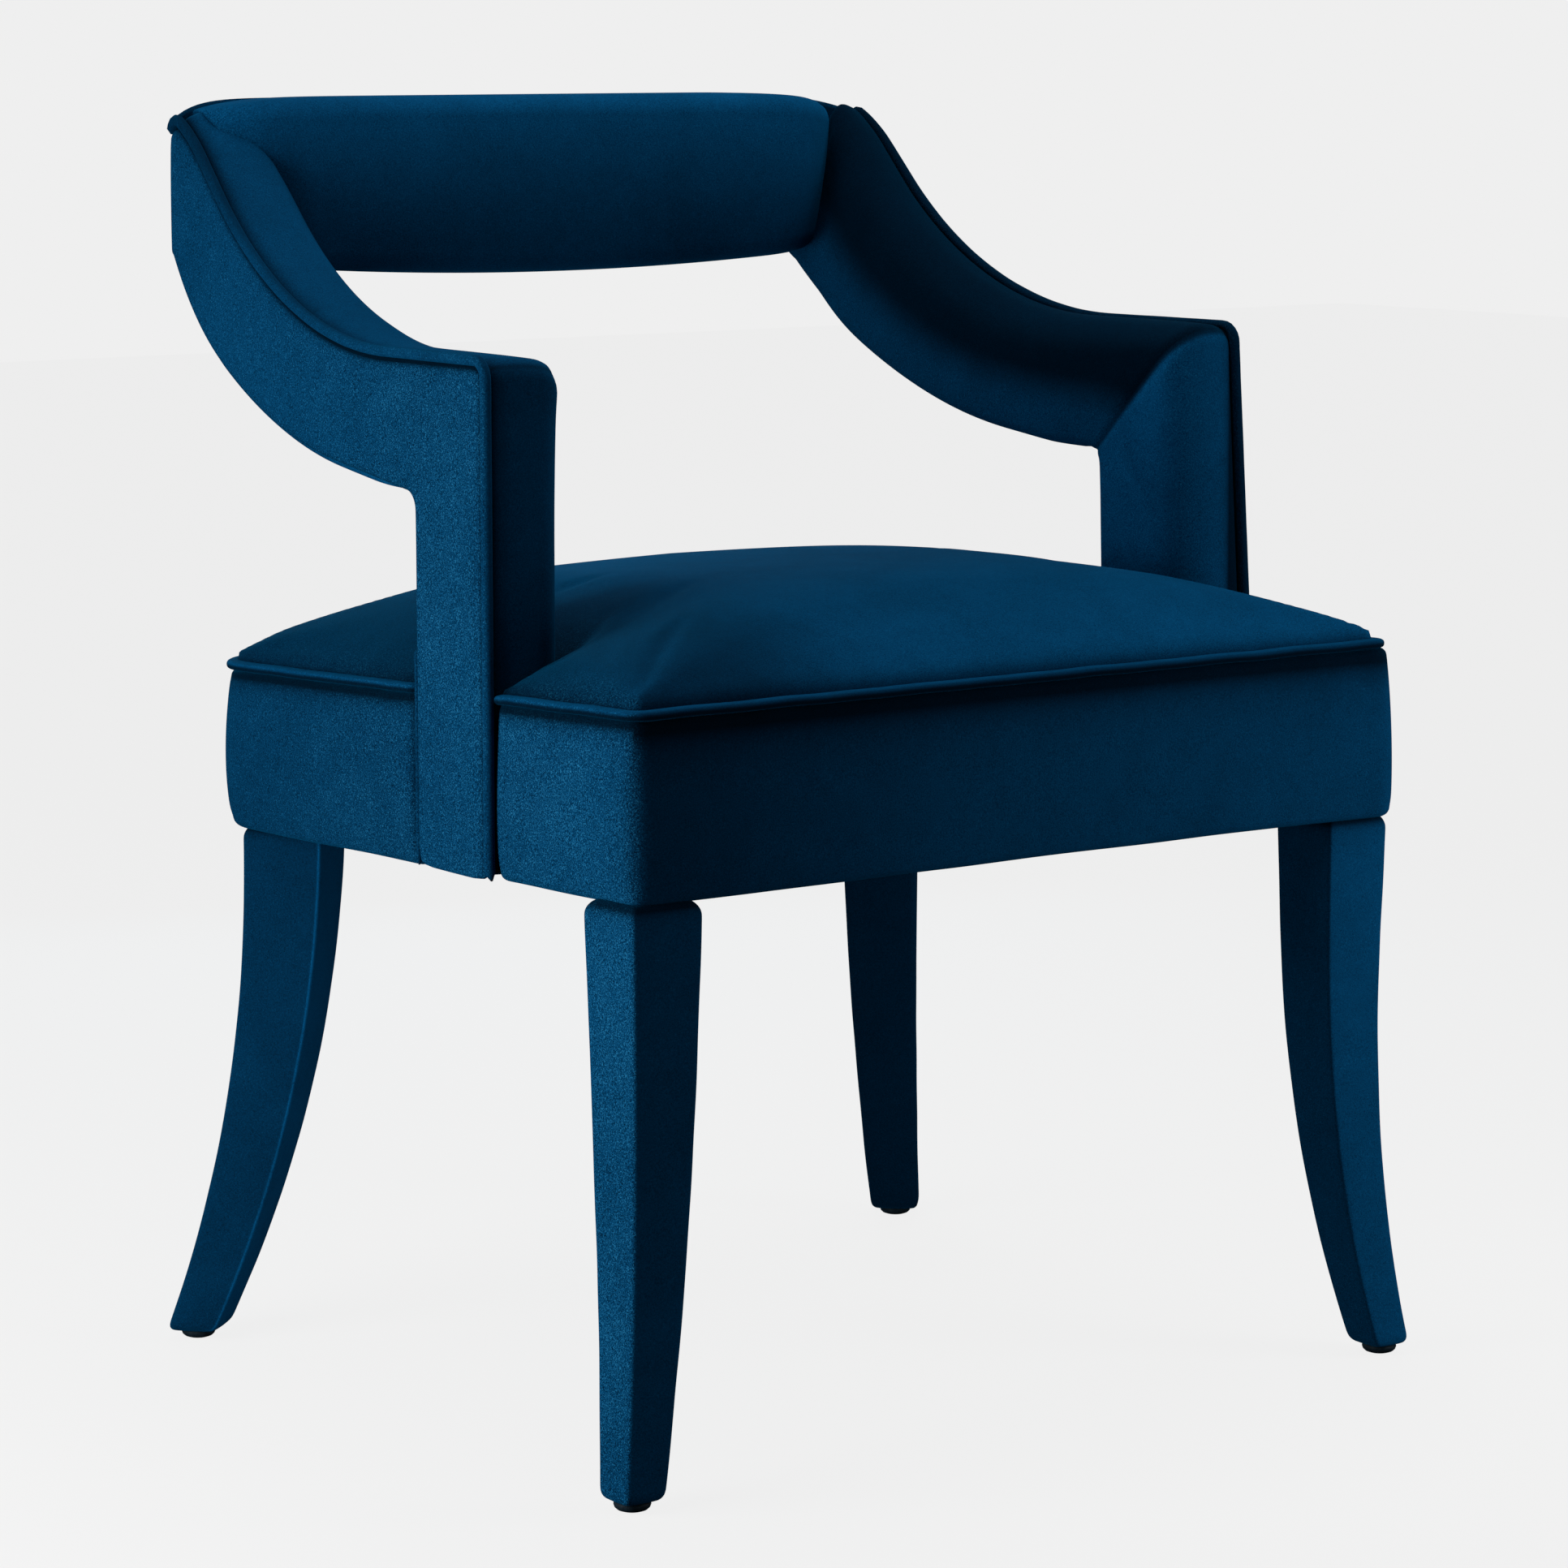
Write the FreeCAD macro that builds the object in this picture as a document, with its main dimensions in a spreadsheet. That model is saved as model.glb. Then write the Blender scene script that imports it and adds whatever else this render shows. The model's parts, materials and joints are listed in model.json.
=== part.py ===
import FreeCAD, Part
import math
import os

import Sketcher
from FreeCAD import Placement, Rotation, Vector

# Upholstered armchair. +Z is up, the sitter faces -Y, and the origin is on the floor under the middle
# of the chair's bounding box. "Left" and "right" are the sitter's, so left is +X.
# Depths named in the sheet are measured backwards from the seat's front plane, heights from the floor.

DIMENSIONS = {
    # where the seat's front plane lies
    "front_plane": -259.4,
    # seat plan and side profile
    "seat_front_width": 582,
    "seat_rear_width": 565,
    "seat_depth": 484,
    "front_corner_radius": 14,
    "rear_corner_radius": 48,
    "underside_front": 354,
    "underside_fall": 10.5,
    "rim_front": 457,
    "rim_fall": 17,
    "crown_height": 61,
    "crown_edge": 9,
    # upholstery build-up
    "gap": 0.3,
    "cloth": 1.5,
    "boxing_depth": 8,
    "welt_radius": 3,
    "welt_room": 2.6,
    "panel_depth": 4,
    "dust_cover_depth": 1,
    # seat frame
    "stock_foot": 200,
    "stock_top": 520,
    "rail_depth": 22,
    "rail_drop": 30,
    "side_rail_inner": 252,
    "front_block_reach": 44,
    "front_block_length": 50,
    "rear_block_reach": 70,
    "rear_block_length": 62,
    "webbing_width": 50,
    "webbing_depth": 1.6,
    "webbing_margin": 14,
    "webbing_landing": 8,
    "post_notch_side": 4.5,
    "post_notch_end": 6,
    # arm, in its own side plane
    "arm_splay": 2.68,
    "arm_outer_face": 293,
    "arm_width": 51,
    "post_front": 146,
    "post_back": 229,
    "post_foot": 347.5,
    "post_piping_top": 477,
    "pad_foot": 446,
    "arm_level": 653,
    "arm_front_radius": 11,
    "sweep_start": 262,
    "sweep_end": 466,
    "sweep_end_height": 739.5,
    "slope_end": 490,
    "crest": 521,
    "crest_height": 785.5,
    "crest_radius": 8,
    "rear_face": 531.6,
    "rear_edge_foot": 705,
    "elbow_end": 241,
    "elbow_height": 571,
    "elbow_radius": 12,
    "belly_start": 322,
    "belly_start_height": 582,
    "belly_turn": 466,
    "belly_turn_height": 633,
    "belly_end": 529,
    "belly_end_height": 699,
    "panel_inset": 3.2,
    "frame_inset": 9,
    "frame_width": 22,
    "pad_rounding": 8,
    "pad_inset": 0.5,
    "pad_slot_clearance": 5,
    # backrest band between the arms
    "back_face": 484,
    "back_half_width": 224,
    "back_corner_top": 789,
    "back_centre_top": 798,
    "back_corner_foot": 692,
    "back_centre_foot": 684,
    "back_panel_corner_foot": 697,
    "back_cord_overrun": 22,
    "back_board_depth": 18,
    "back_rounding": 12,
    # legs: square in section, swept outwards towards the floor
    "leg_foot": 6,
    "leg_cloth": 2,
    "front_leg_x": 268.4,
    "front_leg_depth": 23.5,
    "front_leg_top_half": 24.5,
    "front_leg_foot_half": 14.2,
    "front_leg_flare": 27.5,
    "front_leg_kick": -25,
    "front_leg_bend": 300,
    "front_leg_turn": 0,
    "rear_leg_x": 238.6,
    "rear_leg_depth": 449,
    "rear_leg_top_half": 26.4,
    "rear_leg_foot_half": 15.5,
    "rear_leg_flare": 54,
    "rear_leg_kick": 47,
    "rear_leg_bend": 350,
    "rear_leg_turn": 47,
    "glide_radius": 12,
    "glide_sole_radius": 10,
    # fasteners
    "leg_bolt_radius": 4,
    "leg_bolt_reach": 50,
    "nut_recess": 13,
    "nut_radius": 6.5,
    "nut_depth": 6.5,
    "washer_radius": 9,
    "washer_depth": 1.6,
    "washer_room": 0.5,
    "bolt_end_room": 1,
    "arm_bolt_radius": 3,
    "arm_bolt_head_radius": 6,
    "arm_bolt_head_depth": 3.5,
    "arm_bolt_end": 9,
    "lower_arm_bolt": 18,
    "upper_arm_bolt": 52,
    "screw_radius": 2.5,
    "screw_length": 60,
    "screw_margin": 28,
    "bore_clearance": 0.1,
}

SIDES = (("left", 1), ("right", -1))
LEG_SECTIONS = 6
DOME_GRID = 8
FAR = 1000.0
# how far a cut starts outside the face that it opens, and how near two faces count as the same
OVERCUT = 1.0
CLOSE = 0.01
# where the webbing straps run: sideways positions, and depths behind the seat's front plane
LENGTHWISE_STRAPS = (-165, -55, 55, 165)
CROSSWISE_STRAPS = (88, 286, 385)

document = FreeCAD.newDocument("Armchair")
sheet = document.addObject("Spreadsheet::Sheet", "Dimensions")
for row, (alias, value) in enumerate(DIMENSIONS.items(), 1):
    sheet.set(f"A{row}", alias)
    sheet.set(f"B{row}", str(value))
    sheet.setAlias(f"B{row}", alias)
document.recompute()

parts = {}


def size(alias):
    """The value of one driving dimension."""
    return float(sheet.get(alias))


def cell(alias):
    """The name by which an expression reads one driving dimension."""
    return f"Dimensions.{alias}"


def keep(label, thing):
    """Names a finished sub-part, which is written out under its label."""
    thing.Label = label
    parts[label] = thing
    return thing


def solid_feature(label, shape):
    """A sub-part whose shape comes from Part functions, because no primitive or sketch feature fits."""
    feature = document.addObject("Part::Feature", label)
    feature.Shape = shape
    return keep(label, feature)


def bound_box(name, low, high):
    """A Part::Box between two corners, each given as three expressions."""
    box = document.addObject("Part::Box", name)
    for axis, side, start, end in zip("xyz", ("Length", "Width", "Height"), low, high):
        box.setExpression(f"Placement.Base.{axis}", start)
        box.setExpression(side, f"({end}) - ({start})")
    return box


def bound_cylinder(name, radius, length, turn=None):
    """A Part::Cylinder with its radius and length bound to expressions."""
    cylinder = document.addObject("Part::Cylinder", name)
    cylinder.setExpression("Radius", radius)
    cylinder.setExpression("Height", length)
    if turn:
        cylinder.Placement = Placement(Vector(), turn)
    return cylinder


def place(thing, x, y, z):
    """Binds a primitive's position to three expressions."""
    for axis, value in zip("xyz", (x, y, z)):
        thing.setExpression(f"Placement.Base.{axis}", value)


def boolean(kind, name, first, *others):
    """A Part boolean of one object with others."""
    result = document.addObject(f"Part::{kind}", name)
    if kind == "MultiFuse":
        result.Shapes = [first, *others]
    else:
        result.Base = first
        result.Tool = others[0]
    return result


def depth(expression):
    """An expression for the Y of something that lies so far behind the seat's front plane."""
    return f"{cell('front_plane')} + ({expression})"


# ---------------------------------------------------------------- seat outline and the solids cut from it


def underside(back):
    """Height of the seat's underside at a depth."""
    return size("underside_front") - size("underside_fall") * back / size("seat_depth")


def rim(back):
    """Height of the seam between boxing and seat top at a depth."""
    return size("rim_front") - size("rim_fall") * back / size("seat_depth")


def half_width(back):
    """Half the seat's width at a depth."""
    narrowing = (size("seat_front_width") - size("seat_rear_width")) / 2
    return size("seat_front_width") / 2 - narrowing * back / size("seat_depth")


def rounded_outline(corners, radii):
    """A closed wire round these corners, each rounded with its radius."""
    edges = []
    ends = []
    for index, corner in enumerate(corners):
        before = (corners[index - 1] - corner).normalize()
        after = (corners[(index + 1) % len(corners)] - corner).normalize()
        half_angle = before.getAngle(after) / 2
        reach = radii[index] / math.tan(half_angle)
        start = corner + before * reach
        end = corner + after * reach
        bisector = (before + after).normalize()
        middle = corner + bisector * (radii[index] / math.sin(half_angle) - radii[index])
        edges.append(Part.Arc(start, middle, end).toShape())
        ends.append((start, end))
    for index, (_, end) in enumerate(ends):
        following = ends[(index + 1) % len(ends)][0]
        edges.append(Part.makeLine(end, following))
    return Part.Wire(Part.__sortEdges__(edges))


def seat_wire(inset, height_at=None, lift=0.0):
    """The seat's outline, brought in by inset: level at z = 0, or at lift above a sloping plane."""
    front = inset
    rear = size("seat_depth") - inset
    corners = []
    for back, side in ((front, -1), (front, 1), (rear, 1), (rear, -1)):
        x = side * (half_width(back) - inset)
        z = height_at(back) + lift if height_at else 0
        corners.append(Vector(x, size("front_plane") + back, z))
    front_radius = max(size("front_corner_radius") - inset, 1)
    rear_radius = max(size("rear_corner_radius") - inset, 1)
    return rounded_outline(corners, (front_radius, front_radius, rear_radius, rear_radius))


def space_above(height_at, lift):
    """Everything higher than lift above a sloping plane."""
    start = height_at(-FAR / 2)
    end = height_at(FAR)
    front = size("front_plane") - FAR / 2
    rear = size("front_plane") + FAR
    side = [
        Vector(-FAR, front, start + lift),
        Vector(-FAR, rear, end + lift),
        Vector(-FAR, rear, 2 * FAR),
        Vector(-FAR, front, 2 * FAR),
    ]
    return Part.Face(Part.makePolygon([*side, side[0]])).extrude(Vector(2 * FAR, 0, 0))


def seat_slab(inset, low, high, low_at=underside, high_at=rim):
    """The seat's plan, brought in by inset, from low above one sloping plane to high above another."""
    prism = Part.Face(seat_wire(inset)).extrude(Vector(0, 0, FAR))
    return prism.common(space_above(low_at, low)).cut(space_above(high_at, high))


def slice_of(shape, start, end):
    """The part of a shape between two depths."""
    box = Part.makeBox(2 * FAR, end - start, 2 * FAR)
    box.translate(Vector(-FAR, size("front_plane") + start, -FAR))
    return shape.common(box)


def post_slots(inner):
    """Two upright slots that clear both posts, outside x = inner."""
    clearance = 2 * size("gap") + size("welt_radius")
    start = size("post_front") - clearance
    end = size("post_back") + 2 * size("gap")
    box = Part.makeBox(FAR, end - start, FAR)
    box.translate(Vector(inner, size("front_plane") + start, 0))
    return box.fuse(box.mirror(Vector(), Vector(1, 0, 0)))


def dome(inset):
    """The crowned top of the seat above the rim, brought in by inset."""
    edge = size("crown_edge")
    rows = []
    for row in range(DOME_GRID + 1):
        along = 2 * row / DOME_GRID - 1
        back = size("seat_depth") * row / DOME_GRID
        heights = []
        for column in range(DOME_GRID + 1):
            across = 2 * column / DOME_GRID - 1
            bulge = (1 - across ** 4) * (1 - along ** 4)
            z = rim(back) + edge + (size("crown_height") - edge) * bulge - inset
            heights.append(Vector(across * half_width(0), size("front_plane") + back, z))
        rows.append(heights)
    surface = Part.BSplineSurface()
    surface.interpolate(rows)
    below = surface.toShape().extrude(Vector(0, 0, -FAR / 4))
    return seat_slab(inset, 0, FAR / 4, rim, rim).common(below)


core_inset = size("boxing_depth") + size("gap")
frame_core = document.addObject("Part::Feature", "frame_core")
frame_core.Shape = seat_slab(core_inset, size("dust_cover_depth") + size("gap"), -size("rail_drop"))

# ---------------------------------------------------------------- seat frame

# the boards are cut from stock between these two heights, then trimmed to the frame's sloping faces
LOW = cell("stock_foot")
HIGH = cell("stock_top")
THROUGH = f"{HIGH} - {LOW}"
skin = f"{cell('boxing_depth')} + {cell('gap')}"
front_block_back = f"{skin} + {cell('front_block_length')}"
rear_block_front = f"{cell('seat_depth')} - {skin.replace('+', '-')} - {cell('rear_block_length')}"
front_half = f"{cell('seat_front_width')} / 2"
rear_half = f"{cell('seat_rear_width')} / 2"


def rail(label, low, high):
    """A board of the seat frame, trimmed to the seat's outline."""
    box = bound_box(f"{label}_stock", low, high)
    return boolean("Common", label, box, frame_core)


def mirrored(label, source):
    """The same piece on the right-hand side."""
    mirror = document.addObject("Part::Mirroring", label)
    mirror.Source = source
    mirror.Base = Vector()
    mirror.Normal = Vector(1, 0, 0)
    return keep(label, mirror)


front_block_inner = f"{front_half} - {skin.replace('+', '-')} - {cell('front_block_reach')}"
rear_block_inner = f"{rear_half} - {skin.replace('+', '-')} - {cell('rear_block_reach')}"
gap = cell("gap")

front_rail_end = f"{front_block_inner} - {gap}"
keep("front_rail", rail(
    "front_rail",
    (f"-({front_rail_end})", depth(skin), LOW),
    (front_rail_end, depth(f"{skin} + {cell('rail_depth')}"), HIGH),
))
rear_rail_end = f"{rear_block_inner} - {gap}"
rear_rail_back = f"{cell('seat_depth')} - {skin.replace('+', '-')}"
keep("rear_rail", rail(
    "rear_rail",
    (f"-({rear_rail_end})", depth(f"{rear_rail_back} - {cell('rail_depth')}"), LOW),
    (rear_rail_end, depth(rear_rail_back), HIGH),
))


def seat_height(leg, front, fall):
    """An expression for a sloping plane's height over the middle of a leg."""
    return f"{cell(front)} - {cell(fall)} / {cell('seat_depth')} * {cell(leg + '_depth')}"


def leg_bolt_hole(name, leg):
    """The hole for a leg's hanger bolt, with a counterbore for its washer and nut."""
    hole = bound_cylinder(f"{name}_bore", f"{cell('leg_bolt_radius')} + {cell('bore_clearance')}", THROUGH)
    place(hole, cell(f"{leg}_x"), depth(cell(f"{leg}_depth")), LOW)
    recess = bound_cylinder(f"{name}_recess", f"{cell('washer_radius')} + {cell('washer_room')}", THROUGH)
    floor = f"{seat_height(leg, 'rim_front', 'rim_fall')} - {cell('rail_drop')} - {cell('nut_recess')}"
    place(recess, cell(f"{leg}_x"), depth(cell(f"{leg}_depth")), floor)
    return boolean("MultiFuse", name, hole, recess)


front_block = rail(
    "front_block_body",
    (front_block_inner, depth("0"), LOW),
    (front_half, depth(front_block_back), HIGH),
)
front_block_left = keep("corner_block_front_left", boolean(
    "Cut", "corner_block_front_left", front_block, leg_bolt_hole("front_block_hole", "front_leg")))
mirrored("corner_block_front_right", front_block_left)

rear_block = rail(
    "rear_block_body",
    (rear_block_inner, depth(rear_block_front), LOW),
    (rear_half, depth(cell("seat_depth")), HIGH),
)
rear_block_left = keep("corner_block_rear_left", boolean(
    "Cut", "corner_block_rear_left", rear_block, leg_bolt_hole("rear_block_hole", "rear_leg")))
mirrored("corner_block_rear_right", rear_block_left)

post_inner = f"{cell('arm_outer_face')} - {cell('panel_depth')} - {cell('frame_width')}"
post_notch_inner = f"{post_inner} - {cell('post_notch_side')}"
side_rail_body = rail(
    "side_rail_body",
    (cell("side_rail_inner"), depth(f"{front_block_back} + {gap}"), LOW),
    (front_half, depth(f"{rear_block_front} - {gap}"), HIGH),
)
post_notch = bound_box(
    "post_notch",
    (post_notch_inner, depth(f"{cell('post_front')} + {cell('post_notch_end')}"), LOW),
    (front_half, depth(f"{cell('post_back')} - {cell('post_notch_end')}"), HIGH),
)
side_rail_notched = boolean("Cut", "side_rail_notched", side_rail_body, post_notch)

# ---------------------------------------------------------------- legs


def square_section(body, name, leg, fraction, half, sign):
    """A square sketch at one height of a leg. fraction is 0 at the foot and 1 at the seat."""
    top = seat_height(leg, "underside_front", "underside_fall")
    height = f"{cell('leg_foot')} + ({top} - {cell('leg_foot')} - {gap}) * {fraction}"
    swing = f"max(0; 1 - ({height}) / {cell(leg + '_bend')}) ^ 2"
    sketch = body.newObject("Sketcher::SketchObject", name)
    plane = next(o for o in body.Origin.OriginFeatures if o.Role == "XY_Plane")
    sketch.AttachmentSupport = (plane, "")
    sketch.MapMode = "FlatFace"
    turn = sign * size(leg + "_turn")
    tilt = -math.degrees(math.atan(size("underside_fall") / size("seat_depth"))) if fraction == 1 else 0
    rotation = Rotation(Vector(1, 0, 0), tilt) * Rotation(Vector(0, 0, 1), turn)
    sketch.AttachmentOffset = Placement(Vector(), rotation)
    sideways = f"{sign} * ({cell(leg + '_x')} + {cell(leg + '_flare')} * {swing})"
    sketch.setExpression("AttachmentOffset.Base.x", sideways)
    backwards = depth(f"{cell(leg + '_depth')} + {cell(leg + '_kick')} * {swing}")
    sketch.setExpression("AttachmentOffset.Base.y", backwards)
    sketch.setExpression("AttachmentOffset.Base.z", height)
    corners = [Vector(-1, -1, 0), Vector(1, -1, 0), Vector(1, 1, 0), Vector(-1, 1, 0)]
    for index in range(4):
        sketch.addGeometry(Part.LineSegment(corners[index] * 10, corners[(index + 1) % 4] * 10), False)
    for index in range(4):
        sketch.addConstraint(Sketcher.Constraint("Coincident", index, 2, (index + 1) % 4, 1))
    for index in (0, 2):
        sketch.addConstraint(Sketcher.Constraint("Horizontal", index))
        sketch.addConstraint(Sketcher.Constraint("Vertical", index + 1))
    sketch.addConstraint(Sketcher.Constraint("Symmetric", 0, 1, 2, 1, -1, 1))
    for line, name in ((0, "across"), (1, "along")):
        sketch.addConstraint(Sketcher.Constraint("Distance", line, 20))
        sketch.renameConstraint(sketch.ConstraintCount - 1, name)
        sketch.setExpression(f"Constraints.{name}", f"2 * ({half})")
    return sketch


def leg_loft(body, kind, leg, inset, sign):
    """A loft through the leg's squares, each brought in by inset."""
    sections = []
    for step in range(LEG_SECTIONS):
        fraction = step / (LEG_SECTIONS - 1)
        taper = f"{cell(leg + '_top_half')} - {cell(leg + '_foot_half')}"
        half = f"{cell(leg + '_foot_half')} + ({taper}) * {fraction} - ({inset})"
        sections.append(square_section(body, f"{kind}{step}", leg, fraction, half, sign))
    loft = body.newObject(f"PartDesign::{kind}", kind)
    loft.Profile = sections[0]
    loft.Sections = sections[1:]
    body.Tip = loft
    return loft


def make_leg(leg, side, sign):
    """A leg's timber with its bolt hole, and the cloth sleeve over it."""
    body = document.addObject("PartDesign::Body", f"{leg}_{side}_timber")
    leg_loft(body, "AdditiveLoft", leg, f"{cell('leg_cloth')} + {gap} / 3", sign)
    radius = f"{cell('leg_bolt_radius')} + {cell('bore_clearance')}"
    hole = bound_cylinder(f"{leg}_{side}_hole", radius, THROUGH)
    top = seat_height(leg, "underside_front", "underside_fall")
    foot = f"{top} - {cell('leg_bolt_reach')} - {cell('bolt_end_room')}"
    place(hole, f"{sign} * {cell(leg + '_x')}", depth(cell(leg + "_depth")), foot)
    keep(f"{leg}_{side}", boolean("Cut", f"{leg}_{side}_bored", body, hole))
    sleeve = document.addObject("PartDesign::Body", f"{leg}_cover_{side}")
    leg_loft(sleeve, "AdditiveLoft", leg, "0", sign)
    leg_loft(sleeve, "SubtractiveLoft", leg, cell("leg_cloth"), sign)
    keep(f"{leg}_cover_{side}", sleeve)


for side, sign in SIDES:
    for leg in ("front_leg", "rear_leg"):
        make_leg(leg, side, sign)


def foot_centre(leg):
    """Where the middle of a leg's foot stands, on the left-hand side."""
    swing = (1 - size("leg_foot") / size(leg + "_bend")) ** 2
    x = size(leg + "_x") + size(leg + "_flare") * swing
    y = size("front_plane") + size(leg + "_depth") + size(leg + "_kick") * swing
    return x, y


for side, sign in SIDES:
    for leg in ("front_leg", "rear_leg"):
        x, y = foot_centre(leg)
        glide = document.addObject("Part::Cone", f"{leg}_glide_{side}")
        glide.setExpression("Radius1", cell("glide_sole_radius"))
        glide.setExpression("Radius2", cell("glide_radius"))
        glide.setExpression("Height", f"{cell('leg_foot')} - {gap} / 3")
        glide.Placement = Placement(Vector(sign * x, y, 0), Rotation())
        keep(leg.replace("leg", "glide") + f"_{side}", glide)

# ---------------------------------------------------------------- arms


def arm_point(back, height):
    """A point of the arm's side plane, before the arm is splayed."""
    return Vector(0, size("front_plane") + back, height)


def tangent_arc(start, heading, end):
    """The arc that leaves start along heading and reaches end, with the heading it arrives by."""
    chord = end - start
    normal = Vector(0, -heading.z, heading.y)
    offset = normal.dot(chord)
    radius = chord.Length ** 2 / (2 * offset)
    centre = start + normal * radius
    middle = ((start + end) * 0.5 - centre).normalize() * abs(radius) + centre
    tangent = end - centre
    arriving = Vector(0, -tangent.z, tangent.y).normalize()
    if radius < 0:
        arriving = arriving * -1
    return Part.Arc(start, middle, end).toShape(), arriving


def top_line():
    """The arm's upper edge, from the front corner to the crest over the rear corner."""
    level = size("arm_level")
    radius = size("arm_front_radius")
    front = size("post_front")
    diagonal = radius * (1 - math.sqrt(0.5))
    corner = Part.Arc(
        arm_point(front, level - radius),
        arm_point(front + diagonal, level - diagonal),
        arm_point(front + radius, level),
    ).toShape()
    start = arm_point(size("sweep_start"), level)
    flat = Part.makeLine(arm_point(front + radius, level), start)
    sweep_end = arm_point(size("sweep_end"), size("sweep_end_height"))
    sweep, heading = tangent_arc(start, Vector(0, 1, 0), sweep_end)
    run = (size("slope_end") - size("sweep_end")) / heading.y
    slope_end = sweep_end + heading * run
    slope = Part.makeLine(sweep_end, slope_end)
    crest, heading = tangent_arc(slope_end, heading, arm_point(size("crest"), size("crest_height")))
    return [corner, flat, sweep, slope, crest]


def arm_face(foot, rear, inset):
    """The arm and its post seen from the side, standing on foot, ending at rear, brought in by inset."""
    upper = top_line()
    crest = upper[-1].lastVertex(True).Point
    rear_shift = size("rear_face") - rear
    rear_top = Vector(0, size("front_plane") + rear, crest.z - size("crest_radius"))
    crest_end = Vector(0, crest.y - rear_shift / 2, crest.z)
    rear_foot = arm_point(rear, size("rear_edge_foot"))
    belly_end = arm_point(size("belly_end") - rear_shift, size("belly_end_height") - rear_shift)
    turn = arm_point(size("belly_turn"), size("belly_turn_height"))
    belly_start = arm_point(size("belly_start"), size("belly_start_height"))
    elbow_end = arm_point(size("elbow_end"), size("elbow_height"))
    elbow_start = arm_point(size("post_back"), size("elbow_height") - size("elbow_radius"))
    under = (belly_start - elbow_end).normalize()
    first_belly, heading = tangent_arc(belly_start, under, turn)
    second_belly, heading = tangent_arc(turn, heading, belly_end)
    elbow, heading = tangent_arc(elbow_start, Vector(0, 0, 1), elbow_end)
    crest_arc = Part.Arc(upper[-1].firstVertex(True).Point, upper[-1].valueAt(
        (upper[-1].FirstParameter + upper[-1].LastParameter) / 2), crest).toShape()
    edges = upper[:-1] + [crest_arc]
    edges.append(Part.makeLine(crest, rear_top))
    edges.append(Part.makeLine(rear_top, rear_foot))
    edges.append(Part.makeLine(rear_foot, belly_end))
    edges += [second_belly, first_belly]
    edges.append(Part.makeLine(belly_start, elbow_end))
    edges.append(elbow)
    edges.append(Part.makeLine(elbow_start, arm_point(size("post_back"), foot)))
    edges.append(Part.makeLine(arm_point(size("post_back"), foot), arm_point(size("post_front"), foot)))
    edges.append(Part.makeLine(arm_point(size("post_front"), foot), upper[0].firstVertex(True).Point))
    face = Part.Face(Part.Wire(Part.__sortEdges__(edges)))
    return face.makeOffset2D(-inset) if inset else face


def arm_slab(foot, rear, inset, outer, inner, rounding=0.0):
    """An arm-shaped slab from outer to inner, both measured inwards from the arm's outer plane."""
    slab = arm_face(foot, rear, inset).extrude(Vector(outer - inner, 0, 0))
    slab.translate(Vector(-outer, 0, 0))
    if rounding:
        rims = []
        for edge in slab.Edges:
            box = edge.BoundBox
            on_inner_face = abs(box.XMin + inner) < CLOSE and abs(box.XMax + inner) < CLOSE
            if on_inner_face and box.ZMax > foot + 2 * inset + OVERCUT:
                rims.append(edge)
        slab = slab.makeFillet(rounding, rims)
    return slab


def splayed(shape):
    """Brings a shape from the arm's own plane to the left-hand side of the chair."""
    hinge = Vector(0, size("front_plane") + size("post_front"), 0)
    shape = shape.copy()
    shape.rotate(hinge, Vector(0, 0, 1), size("arm_splay"))
    shape.translate(Vector(size("arm_outer_face"), 0, 0))
    return shape


def both_arms(name, shape):
    """The same arm piece on both sides of the chair."""
    left = solid_feature(f"{name}_left", splayed(shape))
    mirrored(f"{name}_right", left)


panel_rear = size("rear_face")
pad_rear = size("rear_face") - size("panel_depth") - size("gap")
pad_outer = size("panel_depth") + 3 * size("gap")
arm_frame_inner = pad_outer + size("frame_width")
frame_foot = size("post_foot") + size("post_notch_end") - size("frame_inset")
arm_timber = arm_slab(frame_foot, pad_rear, size("frame_inset"), pad_outer, arm_frame_inner)
joint = size("post_back") - size("frame_inset")
arm_post = slice_of(arm_timber, 0, joint)
arm_rail = slice_of(arm_timber, joint + size("gap"), FAR)

pad_inset = size("pad_inset")
cover_body = arm_slab(
    size("pad_foot"), pad_rear, pad_inset, pad_outer, size("arm_width"), size("pad_rounding"))
foam_inset = pad_inset + size("cloth")
foam_width = size("arm_width") - size("cloth")
foam_body = arm_slab(
    size("pad_foot") - foam_inset, pad_rear, foam_inset, pad_outer, foam_width,
    size("pad_rounding") - size("cloth"))
# both hollows run down past the pad's open foot, to the foot of the post
timber_hollow = arm_slab(
    size("post_foot"), pad_rear, size("frame_inset") - size("gap"), pad_outer - OVERCUT,
    arm_frame_inner + size("gap"))
foam_room = arm_slab(
    size("post_foot"), pad_rear, foam_inset - size("gap") / 3, pad_outer - OVERCUT,
    foam_width + size("gap") / 3, size("pad_rounding") - size("cloth"))
arm_foam = foam_body.cut(timber_hollow)
arm_cover = cover_body.cut(foam_room)
panel_foot = size("post_foot") - size("welt_radius")
arm_panel = arm_slab(panel_foot, panel_rear, size("panel_inset"), 0, size("panel_depth"))


def tube(path, radius):
    """A round cord along a path of straight runs and arcs."""
    start = path.Edges[0].firstVertex(True).Point
    heading = path.Edges[0].tangentAt(path.Edges[0].FirstParameter)
    ring = Part.Wire(Part.makeCircle(radius, start, heading))
    return path.makePipeShell([ring], True, True)


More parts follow.
